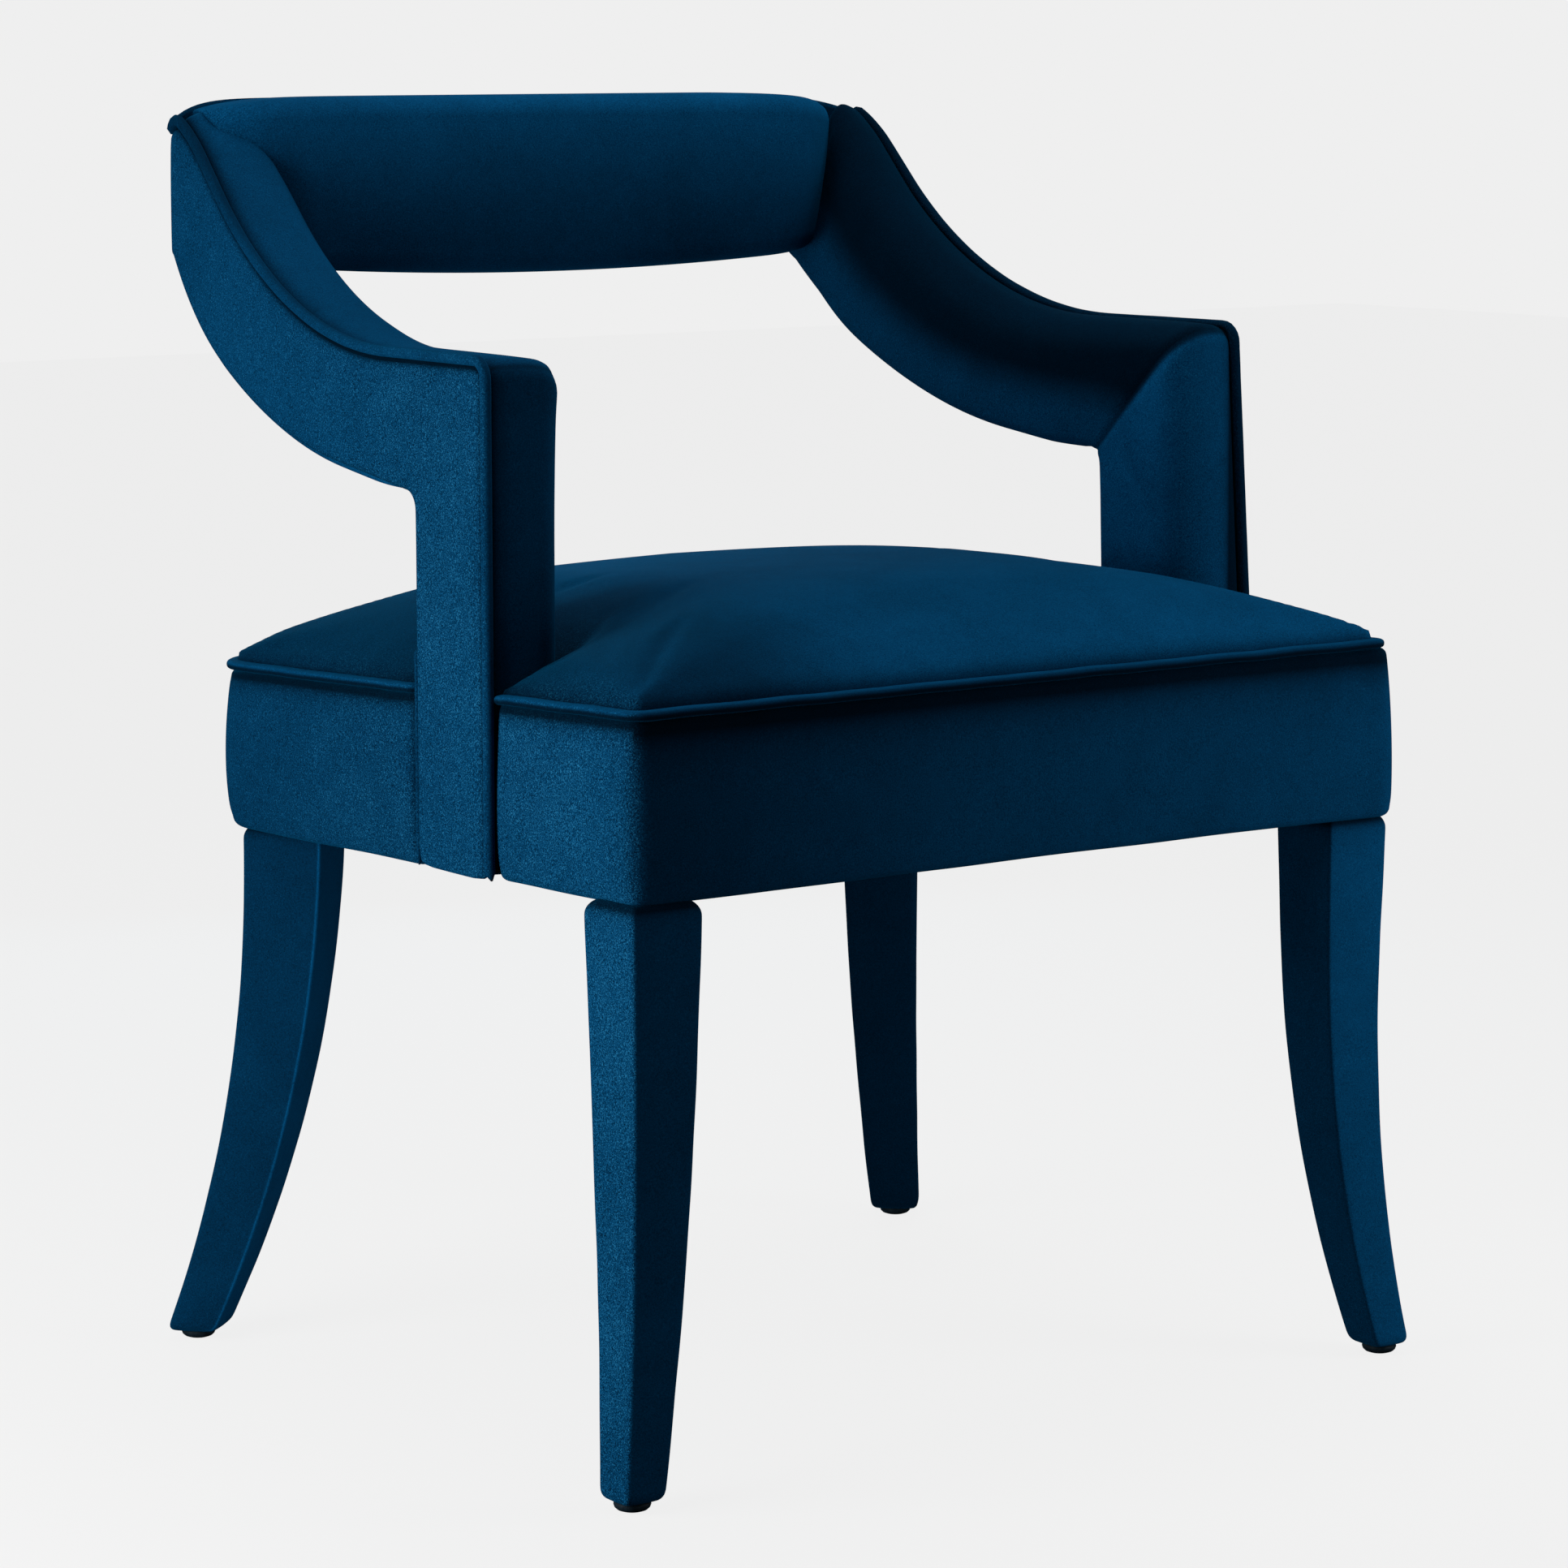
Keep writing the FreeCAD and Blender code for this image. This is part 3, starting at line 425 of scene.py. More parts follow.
# a velvet layer's texture inputs, weight, and whether the piece's grain_and_glint scales it, which makes these
# specks stronger where the painted glints are
VELVET_LAYERS = (
    ({"Scale": 1300, "Detail": 2.0, "Roughness": 0.75}, 4.6, True),
    ({"Scale": 700, "Detail": 1.0, "Roughness": 0.6}, 1.1, True),
    ({"Scale": 13, "Detail": 3.0, "Roughness": 0.6, "Distortion": 0.6}, 0.60, False),
    ({"Scale": 55, "Detail": 3.0, "Roughness": 0.65, "Distortion": 1.2}, 0.34, False),
)


def velvet(name, grain):
    """Short-pile velvet: its specks and brushed patches over a tone that carries painted light and shade, with a
    painted glint on the brightest specks.
    """
    material, tree, shader = start_material(name, {
        "Roughness": 0.85, "Specular IOR Level": 0.01, "Sheen Weight": 0.22, "Sheen Roughness": 0.40,
        "Sheen Tint": (0.0, 0.22, 0.50, 1)})
    tone_and_painted_light = node(tree, "ShaderNodeAttribute", attribute_name="tone_and_painted_light").outputs["Fac"]
    grain_and_glint = node(tree, "ShaderNodeAttribute", attribute_name="grain_and_glint").outputs["Fac"]
    layers = [texture(tree, NOISE, inputs) for inputs, _, _ in VELVET_LAYERS]
    gain = 1.0
    for layer, (_, weight, follows_glint) in zip(layers, VELVET_LAYERS):
        change = maths(tree, "MULTIPLY", maths(tree, "SUBTRACT", layer, 0.5), weight * (grain if follows_glint else 1))
        if follows_glint:
            change = maths(tree, "MULTIPLY", change, grain_and_glint)
        gain = maths(tree, "ADD", gain, change)
    # the tone is the painted light and shade times the cloth's own grain and patches
    tone = maths(tree, "MULTIPLY", tone_and_painted_light, maths(tree, "MAXIMUM", gain, 0.15))
    colour = ramp(tree, tone, [(0.0, DEEP), (1.0, LIT)])
    # a painted glint where the specks are brightest, on faces towards the key light
    spark = maths(tree, "MAXIMUM", maths(tree, "SUBTRACT", gain, 1.3), 0.0)
    spark = maths(tree, "MULTIPLY", spark, maths(tree, "MULTIPLY", grain_and_glint, tone_and_painted_light))
    glint = node(tree, "ShaderNodeMix", {7: (*GLINT, 1)}, data_type="RGBA")
    tree.links.new(maths(tree, "MULTIPLY", maths(tree, "MINIMUM", spark, 0.25), 1.5), glint.inputs["Factor"])
    tree.links.new(colour, glint.inputs[6])
    tree.links.new(glint.outputs[2], shader.inputs["Base Color"])
    add_bump(tree, shader, layers[0], 0.5, 0.0006)
    return material


def toned(name, kind, inputs, dark, light, constants, stretch=None, bumpy=False):
    """A material that runs from a dark to a light colour over a texture."""
    material, tree, shader = start_material(name, constants)
    pattern = texture(tree, kind, inputs, stretch)
    tree.links.new(ramp(tree, pattern, [dark, light]), shader.inputs["Base Color"])
    if bumpy:
        add_bump(tree, shader, pattern, 0.4, 0.0004)
    return material


materials = {
    "wood": toned(
        "beech", NOISE, {"Scale": 3.0, "Detail": 6.0, "Distortion": 0.4},
        (0.3, (0.36, 0.21, 0.10)), (0.7, (0.62, 0.43, 0.25)), {"Roughness": 0.62}, stretch=(14.0, 14.0, 90.0)),
    "steel": toned(
        "zinc_steel", NOISE, {"Scale": 900, "Detail": 2.0},
        (0.3, (0.42, 0.43, 0.44)), (0.7, (0.62, 0.63, 0.64)), {"Metallic": 1.0, "Roughness": 0.32}),
    "webbing": toned(
        "elastic_webbing", CELLS, {"Scale": 700},
        (0.2, (0.012, 0.011, 0.010)), (0.8, (0.07, 0.06, 0.05)), {"Roughness": 0.9}, bumpy=True),
    "foam": toned(
        "cut_foam", CELLS, {"Scale": 700},
        (0.1, (0.60, 0.52, 0.30)), (0.7, (0.85, 0.79, 0.58)), {"Roughness": 0.95}),
    "velvet": velvet("velvet", 1.0),
    "piping": velvet("velvet_piping", 0.7),
    "lining": toned(
        "spunbond_lining", CELLS, {"Scale": 900},
        (0.2, (0.004, 0.004, 0.005)), (0.8, (0.018, 0.018, 0.020)), {"Roughness": 0.9}, bumpy=True),
    "glide": toned(
        "glide_plastic", NOISE, {"Scale": 300, "Detail": 4.0},
        (0.4, (0.002, 0.008, 0.014)), (0.8, (0.010, 0.022, 0.032)),
        {"Roughness": 0.7, "Specular IOR Level": 0.12}),
}
for part in frame["record"]["subparts"]:
    carried = frame["nodes"][part["node"]]
    for place in carried.material_slots:
        place.material = materials[part["material_slot"]]


def finish(piece, slot, replaced, tone_and_painted_light=0.25, sparkle=0.75):
    """Gives a piece its cloth, its tone with painted light and shade, its painted glint strength, body and
    replaced nodes.
    """
    # painted glints and stronger specks on faces towards the key light at -X, weaker towards the rear
    rearward = ease((points_of(piece)[:, 1] + 0.05) / 0.25)
    grain_and_glint = 0.45 + sparkle * facing(normals_of(piece), 0, 0.1, 0.7) * (1 - 0.5 * rearward)
    for name, level in (("tone_and_painted_light", tone_and_painted_light), ("grain_and_glint", grain_and_glint)):
        attribute = piece.data.attributes.new(name, "FLOAT", "POINT")
        attribute.data.foreach_set("value", np.ascontiguousarray(np.broadcast_to(level, grain_and_glint.shape), dtype=float))
    piece.data.materials.clear()
    piece.data.materials.append(materials[slot])
    for polygon in piece.data.polygons:
        polygon.use_smooth = True
    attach(piece, "root")
    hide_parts(*replaced)


# -------- the arm seen from the side

# (v, z) points of the arm's upper and lower edge
CREST = (0.521, 0.7868)
SLOPE_FOOT = (0.466, 0.7395)
LEVEL_END = (0.262, ARM_LEVEL)
REAR_CORNER = (0.529, 0.699)
BELLY_END = (0.466, 0.633)
BELLY_START = (0.322, 0.582)
ELBOW_END = (0.241, 0.571)
ELBOW_FOOT = (POST_BACK, 0.559)
SLOPE_RUN = 0.024
TOP_CORNER = 0.011


def arc_from(start, heading, end, count=40):
    """The arc that leaves start along heading and reaches end, and its heading there."""
    start, end = np.array(start), np.array(end)
    chord = end - start
    radius = chord @ chord / (2 * (np.array([-heading[1], heading[0]]) @ chord))
    centre = start + np.array([-heading[1], heading[0]]) * radius
    first = math.atan2(*(start - centre)[::-1])
    last = math.atan2(*(end - centre)[::-1])
    if radius > 0 and last < first:
        last += 2 * pi
    if radius < 0 and last > first:
        last -= 2 * pi
    arriving = np.array([-(end - centre)[1], (end - centre)[0]]) / radius
    return centre + abs(radius) * circle(np.linspace(first, last, count)), arriving


# the upper edge, from the crest forward and down the post's front edge
sweep, heading = arc_from(LEVEL_END, (1.0, 0.0), SLOPE_FOOT)
crest, _ = arc_from(sweep[-1] + heading * SLOPE_RUN / heading[0], heading, CREST)
corner = TOP_CORNER * (circle(np.linspace(pi / 2, pi, 12)) + (1, -1)) + (POST_FRONT, ARM_LEVEL)
upper_line = concat([crest[::-1], sweep[::-1], corner, [[POST_FRONT, POST_FOOT]]])
# the lower edge, from the back forward and down the post's rear edge
belly, heading = arc_from(BELLY_START, unit(np.subtract(BELLY_START, ELBOW_END)), BELLY_END)
rear, _ = arc_from(BELLY_END, heading, REAR_CORNER)
elbow, _ = arc_from(ELBOW_FOOT, (0.0, 1.0), ELBOW_END, 12)
lower_line = concat([rear[::-1], belly[::-1], elbow[::-1], [[POST_BACK, POST_FOOT]]])

# points on the upper and lower edge that the cross-sections run through
PAIRS = np.array([
    (CREST, REAR_CORNER),
    ((0.508, 0.775), (0.523, 0.692)),
    (SLOPE_FOOT, (0.505, 0.669)),
    ((0.420, 0.704), BELLY_END),
    ((0.370, 0.678), (0.410, 0.607)),
    ((0.322, 0.662), (0.348, 0.589)),
    (LEVEL_END, (0.278, 0.576)),
    ((0.205, 0.653), (0.246, 0.5717)),
    ((0.1492, 0.6498), (0.2325, 0.5675)),
    ((POST_FRONT, 0.600), (POST_BACK, 0.557)),
    ((POST_FRONT, 0.540), (POST_BACK, 0.537)),
    ((POST_FRONT, PAD_FOOT), (POST_BACK, PAD_FOOT)),
])
MITRE = 8
KNOTS = np.arange(len(PAIRS))
FINE = 2000


def section_points(line, pair_points, stations):
    """Points of a polyline at the stations; a whole station lies nearest to that pair's point."""
    fine = resample(line, FINE)
    marks = [np.argmin(np.linalg.norm(fine - point, axis=1)) for point in pair_points]
    marks = np.interp(stations, KNOTS, marks)
    return np.stack([np.interp(marks, np.arange(FINE), fine[:, k]) for k in range(2)], axis=1)


def arm_sections(spacing=0.006):
    """Matching points on both edges, and their places among the pairs."""
    stations = []
    for index, (near, far) in enumerate(zip(PAIRS[:-1], PAIRS[1:])):
        step = far - near
        longest = max(np.linalg.norm(step.mean(axis=0)), np.linalg.norm(step[0]))
        count = max(2, round(longest / spacing))
        stations += list(index + np.arange(count) / count)
    stations = np.array([*stations, KNOTS[-1]])
    outer = section_points(upper_line, PAIRS[:, 0], stations)
    inner = section_points(lower_line, PAIRS[:, 1], stations)
    return outer, inner, stations


def on_arm(p, v, z, lean):
    """Points on the left arm; the post leans out below the arm."""
    run = v - POST_FRONT
    leaning = lean * np.clip(0.63 - z, -0.01, 0.16) * (1 - 0.7 * np.clip(p / ARM_WIDTH, 0, 1)) * (
        0.3 + 0.7 * ease((z - 0.352) / 0.09))
    x = ARM_OUTER - p * math.cos(SPLAY) - run * math.sin(SPLAY) + leaning
    return chair_xyz(x, POST_FRONT - p * math.sin(SPLAY) + run * math.cos(SPLAY), z)


def in_arm(points, sign):
    """The reverse of on_arm, without the lean: each point's p, and its (v, z)."""
    reach = ARM_OUTER - points[:, 0] * sign
    run = points[:, 1] - FRONT - POST_FRONT
    inward = reach * math.cos(SPLAY) - run * math.sin(SPLAY)
    v = POST_FRONT + reach * math.sin(SPLAY) + run * math.cos(SPLAY)
    return inward, np.stack([v, points[:, 2]], axis=1)


# -------- arm pads


def pad_section(height, at_top, at_foot, crown, crease, round_across, round_down, swell, fall):
    """A cross-section of the arm pad: distances in from the outer plane, and up from its lower edge."""
    start, foot_round, bulge = 0.0038, 0.007, 0.0006
    round_start = max(at_top - round_across, start + crown + 0.0005)
    foot_across = at_foot - foot_round
    edge, shoulder, toe = steps(0, pi / 2, 7), steps(0, pi / 2, 10), steps(0, pi / 2, 6)
    t = steps(0, 1, 13)
    p = concat([
        np.full(7, start), start + crown * (1 - np.cos(edge)), steps(start + crown, round_start, 5),
        round_start + (at_top - round_start) * np.sin(shoulder),
        at_top + (at_foot - at_top) * t + bulge * np.sin(pi * t) ** 0.8,
        foot_across + foot_round * np.cos(toe), np.linspace(foot_across, start + 0.0015, 5),
    ])
    q = concat([
        steps(0.0015, height - crease, 7), height - crease + crease * np.sin(edge), np.full(5, height),
        height - round_down * (1 - np.cos(shoulder)), (height - round_down) * (1 - t) + foot_round * t,
        foot_round * (1 - np.sin(toe)), np.zeros(5),
    ])
    share = np.clip(p / at_top, 0, 1)
    return p, q + (swell * np.sin(pi * share) - fall * share ** 2) * np.clip(q / height, 0, 1) ** 3


def arm_pad(side, sign):
    """The velvet of an arm and its post."""
    inset = 0.0006
    width = PAD_WIDTH[side]
    across, down, post_across, post_down = SHOULDER[side]
    outer, inner, stations = arm_sections()
    on_post = ease(stations - MITRE + 1.0)
    drop = 0.0046 * (1 - ease((stations - 5.8) / 2.0)) + 0.0044 * (1 - ease(stations / 4.5))
    inner = inner + np.stack([0.0012 * on_post, -drop], axis=1)
    rings = []
    for top, foot, station in zip(outer, inner, stations):
        length = np.linalg.norm(top - foot)
        axis = (top - foot) / length
        height = length - 2 * inset
        to_back = 1 - ease(station / 2.2)
        to_post = ease((station - MITRE + 0.6) / 1.2)
        p, q = pad_section(
            height, width - 0.0150 * to_back,
            width + 0.0100 * to_back + 0.0050 * (1 - ease((station - 1) / 3)),
            crown=0.010 - 0.003 * to_post, crease=0.0024,
            round_across=across + (post_across - across) * to_post,
            round_down=down + (post_down - down) * to_post,
            swell=0.0008 + 0.0030 * (1 - to_back) * (1 - to_post),
            fall=FALL[side] * ease((station - 4.5) / 2.0) * (1 - 0.8 * to_post))
        rise = 0.008 * to_back * np.clip((p + 0.010) / 0.030, 0, 1) * ease((q - height + 0.03) / 0.03)
        v, z = foot[:, None] + axis[:, None] * (q + inset + rise)
        rings.append(on_arm(p, v, z, LEAN[side]))
    # inside the seat the post is bare and narrower
    narrow_p = np.minimum(p, 0.0105)
    narrow_v = np.interp(v, [POST_FRONT, POST_BACK], [POST_FRONT - 0.0028, POST_BACK + 0.0004])
    for depth in np.linspace(0.004, PAD_FOOT - POST_FOOT - 0.003, 14):
        rings.append(on_arm(narrow_p, narrow_v, PAD_FOOT - depth, LEAN[side]))
    piece = loft(f"arm_pad_{side}", mirrored(rings, sign))
    seam_row = int(np.argmin(np.abs(stations - MITRE)))
    pinned, grid = ring_pins(len(rings), len(p))
    grid[:, :9] = 1
    grid[:, -5:] = 0.7
    grid[0] = 1
    grid[-20:] = 1
    grid[seam_row, 7:] = 1
    inflate(piece, pinned, 0.0030)
    sew_mitre(piece, len(rings), len(p), seam_row)
    subdivide(piece)
    finish(
        piece, "velvet", [f"arm_cover_{side}", f"arm_foam_{side}"], tone_and_painted_light=arm_painted_light(piece, side, sign),
        sparkle=0.15)


def arm_painted_light(piece, side, sign):
    """Painted light and shade on an arm pad, with painted shade in its seams and creases."""
    points = points_of(piece)
    normals = normals_of(piece)
    inward, place = in_arm(points, sign)
    from_top = gap_to_line(place, upper_line)
    share = from_top / (from_top + gap_to_line(place, lower_line))
    # painted light: the inner face dark above and lighter towards its lower edge and the front, the top and the
    # post lit as set per side, the post's front darker
    belly = 0.26 + 0.10 * ease((0.40 - place[:, 0]) / 0.12)
    face = 0.035 + belly * ease((share - 0.40) / 0.42)
    arm = face + (TOP_PAINTED_LIGHT[side] - face) * ease((normals[:, 2] - 0.30) / 0.45)
    post = POST_PAINTED_LIGHT[side] * (1 - 0.35 * facing(normals, 1, 0.2, 0.6))
    seam_top, seam_foot = PAIRS[MITRE]
    run = unit(seam_foot - seam_top)
    past_seam = (place - seam_top) @ np.array([run[1], -run[0]])
    tone_and_painted_light = arm + (post - arm) * ease((past_seam + 0.002) / 0.004)
    # painted shade in the crease under the cord, low down where the post enters the seat, and along the mitre seam
    crease = fading(from_top, 0.004, 0.0030) * fading(inward, 0.0042, 0.0032)
    low = ease((PAD_FOOT + 0.012 - points[:, 2]) / 0.020)
    seam = np.exp(-(past_seam / 0.0022) ** 2)
    return tone_and_painted_light * (1 - 0.9 * crease) * (1 - 0.85 * low) * (1 - 0.55 * seam)


def sew_mitre(piece, count, size, seam_row):
    """Draws the cloth in along the mitre seam, with small puckers."""
    points = points_of(piece)
    normals = normals_of(piece)[:-2].reshape(count, size, 3)
    grid = points[:-2].reshape(count, size, 3)
    seam = grid[seam_row].copy()
    puckers = 0.0006 * ripple(seam, 130, 3)
    for row in range(seam_row - 5, seam_row + 6):
        apart = np.linalg.norm(grid[row] - seam, axis=1)
        shift = puckers * np.exp(-(apart / 0.009) ** 2) - 0.0016 * np.exp(-(apart / 0.0022) ** 2)
        shift[:9] = 0
        grid[row] += normals[row] * shift[:, None]
    move_vertices(piece, points)


# -------- outer arm panels and piping


def arm_panel(side, sign):
    """The flat outer panel of an arm and post, its edges rolled."""
    depth, roll, hollow = 0.0040, 0.0030, 0.0006
    margin_top, margin_foot = 0.0054, 0.0002
    blend = steps(0, 1, 3)[:, None]
    heights = np.linspace(PAD_FOOT, POST_FOOT, 19)[1:]
    outer, inner, _ = arm_sections()
    edges = []
    for line, rear, post in (
            (outer, (PANEL_REAR - 0.0010, 0.7830), POST_FRONT), (inner, (PANEL_REAR - 0.0006, 0.7010), POST_BACK)):
        below = np.stack([np.full(len(heights), post), heights], axis=1)
        edges.append(concat([rear + (line[0] - rear) * blend, line, below]))
    last = len(edges[0]) - 1
    turn = steps(0, pi / 2, 5)
    rings = []
    for index, (top, foot) in enumerate(zip(*edges)):
        length = np.linalg.norm(top - foot)
        axis = (top - foot) / length
        height = length - margin_top - margin_foot
        across = np.linspace(roll, height - roll, 16)
        q = concat([
            [0.0], roll * (1 - np.cos(turn)), across, height - roll + roll * np.sin(turn), [height],
            np.linspace(height, 0, 10)[1:-1]])
        p = concat([
            [depth], roll * (1 - np.sin(turn)), -hollow * np.sin(pi * (across / height)) ** 0.6,
            roll * (1 - np.cos(turn)), np.full(9, depth)])
        p = np.minimum(p + 0.0016 * max(0, 1 - min(index, last - index) / 2), depth)
        v, z = foot[:, None] + axis[:, None] * (q + margin_foot)
        rings.append(on_arm(p, v, z, LEAN[side]))
    piece = loft(f"arm_outer_panel_{side}", mirrored(rings, sign))
    subdivide(piece)
    _, place = in_arm(points_of(piece), sign)
    # painted shadow under the cord, and a painted dark line along the panel's lower edge
    tone_and_painted_light = 0.30 * (1 - 0.90 * fading(gap_to_line(place, upper_line), 0.0056, 0.0018))
    tone_and_painted_light *= 1 - 0.8 * fading(gap_to_line(place, lower_line), margin_foot, 0.0016)
    finish(piece, "velvet", [f"arm_panel_{side}"], tone_and_painted_light=tone_and_painted_light)


# how the arm's cord turns in at its ends
CORD_REAR = [[0.5284, 0.7772], [0.5280, 0.7812], [0.5256, 0.7848]]
CORD_FOOT = [
    [POST_FRONT, POST_FOOT + 0.012], [POST_FRONT - 0.0006, POST_FOOT + 0.006],
    [POST_FRONT - 0.0022, POST_FOOT + 0.0028]]


def arm_cords(side, sign):
    """The arm's cord, the seam inside it, and the post's rear cord."""
    line = resample(concat([CORD_REAR, upper_line[:-1], CORD_FOOT]), 240)
    path = on_arm(0.0004, line[:, 0], line[:, 1], LEAN[side])
    radii = blunt_radii(path, 0.0034) * (1 + 0.03 * ripple(path, 60, 5))
    cord = tube(f"arm_cord_{side}", mirrored(path, sign), radii, 16)
    ahead = unit(np.gradient(line, axis=0))
    seam_line = line + 0.0046 * np.stack([-ahead[:, 1], ahead[:, 0]], axis=1)
    path = on_arm(0.0032, seam_line[:, 0], seam_line[:, 1], LEAN[side])
    seam = tube(f"arm_seam_shade_{side}", mirrored(path, sign), blunt_radii(path, 0.0026), 12)
    # the seam is painted almost black, standing in for the shade in the crease beside the cord
    finish(seam, "piping", [f"arm_piping_{side}"], tone_and_painted_light=0.015)
    _, place = in_arm(points_of(cord), sign)
    # painted shade: the cord darker towards the rear top of the arm
    tone_and_painted_light = CORD_PAINTED_LIGHT[side] * (1 - 0.45 * ease((place[:, 0] - 0.40) / 0.10))
    finish(cord, "piping", [f"arm_piping_{side}"], tone_and_painted_light=tone_and_painted_light)
    path = on_arm(0.0010, POST_BACK - 0.0008, np.linspace(POST_FOOT, 0.477, 50), LEAN[side])
    piece = tube(f"post_cord_{side}", mirrored(path, sign), blunt_radii(path, 0.0018), 14, up=(1, 0, 0))
    finish(piece, "piping", [f"post_piping_{side}"], tone_and_painted_light=0.22)


# -------- backrest

BAND_HALF = 0.235
BAND_FOOT_HALF = 0.2290
# half width at the top, how far the end draws back, and over what width: right end, left end
BAND_ENDS = {False: (0.2625, 0.016, 0.045), True: (0.2440, 0.027, 0.055)}


def back_edges(x):
    """Heights of the backrest band's top and bottom edge."""
    t = (np.asarray(x) / 0.226) ** 2
    top = 0.8006 - 0.006 * t ** 5 - 0.0012 * ease((np.asarray(x) - 0.13) / 0.09)
    return top, 0.6834 + 0.0086 * t


def backrest():
    """The padded band between the arms."""
    turn = steps(0, pi / 2, 8)
    t = steps(0, 1, 16)
    rings = []
    for step in np.linspace(-1, 1, 97):
        spread = math.copysign(1 - (1 - abs(step)) ** 1.15, step)
        top_half, drawn, reach = BAND_ENDS[spread > 0]
        top, foot = back_edges(spread * BAND_HALF)
        height = top - foot
        draw = drawn * max(0, 1 - (1 - abs(spread)) * BAND_HALF / reach) ** 2
        depth = PAD_REAR - BACK_FACE - draw
        rounding = min(0.016, depth * 0.8)
        face = PAD_REAR - depth
        bulge = 0.004 * (depth / 0.043)
        q = concat([
            steps(0, height, 9), np.full(5, height), height - rounding * (1 - np.cos(turn)),
            (height - rounding) * (1 - t) + rounding * t, rounding * (1 - np.sin(turn)), np.zeros(5),
        ])
        v = concat([
            np.full(9, PAD_REAR), steps(PAD_REAR, face + rounding, 5),
            face + rounding - rounding * np.sin(turn), face - bulge * np.sin(pi * t) ** 0.8,
            face + rounding - rounding * np.cos(turn), np.linspace(face + rounding, PAD_REAR, 5),
        ])
        half = BAND_FOOT_HALF + (top_half - BAND_FOOT_HALF) * (q / height)
        rings.append(chair_xyz(spread * half, v, foot + q))
    piece = loft("back_pad", rings)
    pinned, grid = ring_pins(len(rings), len(q))
    grid[:, :10] = 1
    grid[:3] = 1
    grid[-3:] = 1
    inflate(piece, pinned, 0.0035)
    subdivide(piece)
    points = points_of(piece)
    top, foot = back_edges(np.clip(points[:, 0], -BAND_HALF, BAND_HALF))
    level = np.clip((points[:, 2] - foot) / (top - foot), 0, 1)
    # painted light and shade: the band lighter towards its top, and painted shade low down at its ends beside the
    # arms
    tone_and_painted_light = 0.25 + 0.25 * level ** 1.5
    tone_and_painted_light *= 1 - 0.45 * ease((np.abs(points[:, 0]) - 0.198) / 0.022) * (1 - level)
    finish(piece, "velvet", ["back_cover", "back_foam"], tone_and_painted_light=tone_and_painted_light)


def back_top(s, drop):
    """The outer back's top edge, for s from -1 at its right to 1 at its left."""
    return 0.7998 - np.where(s > 0, (drop + 0.0015) * np.abs(s) ** 7, drop * np.abs(s) ** 17)


def outer_back():
    """The outer back panel and the cord along its top."""
    half = 0.2700
    s, t = np.meshgrid(np.linspace(-1, 1, 111), np.linspace(0, 1, 31))
    foot = 0.6845 + 0.013 * s ** 2
    height = back_top(s, 0.0105) - foot
    edge = np.minimum((1 - np.abs(s)) * half, np.minimum(t, 1 - t) * height)
    rolled = 0.003 * (1 - np.sqrt(1 - (1 - np.clip(edge / 0.004, 0, 1)) ** 2))
    swell = 0.0022 * np.clip(np.sin(pi * t), 0, 1) ** 0.7 * (1 - s ** 8)
    layers = [chair_xyz(s * half, v, foot + height * t).reshape(-1, 3)
              for v in (PAD_REAR + 0.0003, REAR_FACE - rolled + swell)]
    index = np.arange(s.size).reshape(s.shape)
    border = grid_border(index)
    faces = [*grid_faces(index), *grid_faces(index + s.size)]
    faces += skirt(border, border + s.size)
    piece = new_piece("outer_back", concat(layers), faces)
    finish(piece, "velvet", ["back_panel"], tone_and_painted_light=0.24)
    s = np.linspace(-1, 1, 400)
    x = s * np.where(s > 0, 0.2730, half)
    z = back_top(s, 0.0085)
    drop = np.linspace(0.001, 0.009, 8)
    x = concat([np.full(8, x[0] - 0.001), x, np.full(8, x[-1] + 0.001)])
    z = concat([z[0] - drop[::-1], z, z[-1] - drop])
    line = resample(np.stack([x, z], axis=1), 200)
    path = chair_xyz(line[:, 0], PAD_REAR + 0.0022, line[:, 1])
    cord = tube("back_cord", path, blunt_radii(path, 0.0028), 16)
    finish(cord, "piping", ["back_piping"], tone_and_painted_light=0.24)


# -------- seat

# where the boxing's front and rear stretches end, beside the posts
FRONT_LIMIT = 0.1440
REAR_LIMIT = 0.2296
# the boxing lies on the frame at BACKING, and its cloth shows outside SKIN
BACKING = -0.0080
SKIN = -0.0070
CORNER_FLARE = 0.0105


def seat_outline(inset, spacing):
    """The seat's plan as (x, v) points with outward directions, from the front's middle to the left."""
    corners = []
    for end, sign in ((0, 1), (1, 1), (1, -1), (0, -1)):
        v = (inset, SEAT_DEPTH - inset)[end]
        x = sign * (between(SEAT_HALF, v) - inset)
        corners.append((np.array([x, v]), max(CORNER_RADII[end] - inset, 0.001)))
    line = [[[0.0, inset]]]
    for index, (corner, radius) in enumerate(corners):
        before = unit(corners[index - 1][0] - corner)
        after = unit(corners[(index + 1) % 4][0] - corner)
        half_angle = math.acos(before @ after) / 2
        centre = corner + unit(before + after) * radius / math.sin(half_angle)
        start = corner + before * radius / math.tan(half_angle) - centre
        first = math.atan2(start[1], start[0])
        line.append(centre + radius * circle(np.linspace(first, first + pi - 2 * half_angle, 24)))
    line = concat([*line, line[0]])
    points = resample(line, round(distances(line)[-1] / spacing) + 1)
    ahead = np.gradient(points, axis=0)
    ahead[0] = ahead[-1] = points[1] - points[0]
    ahead = unit(ahead)
    return points, np.stack([ahead[:, 1], -ahead[:, 0]], axis=1)


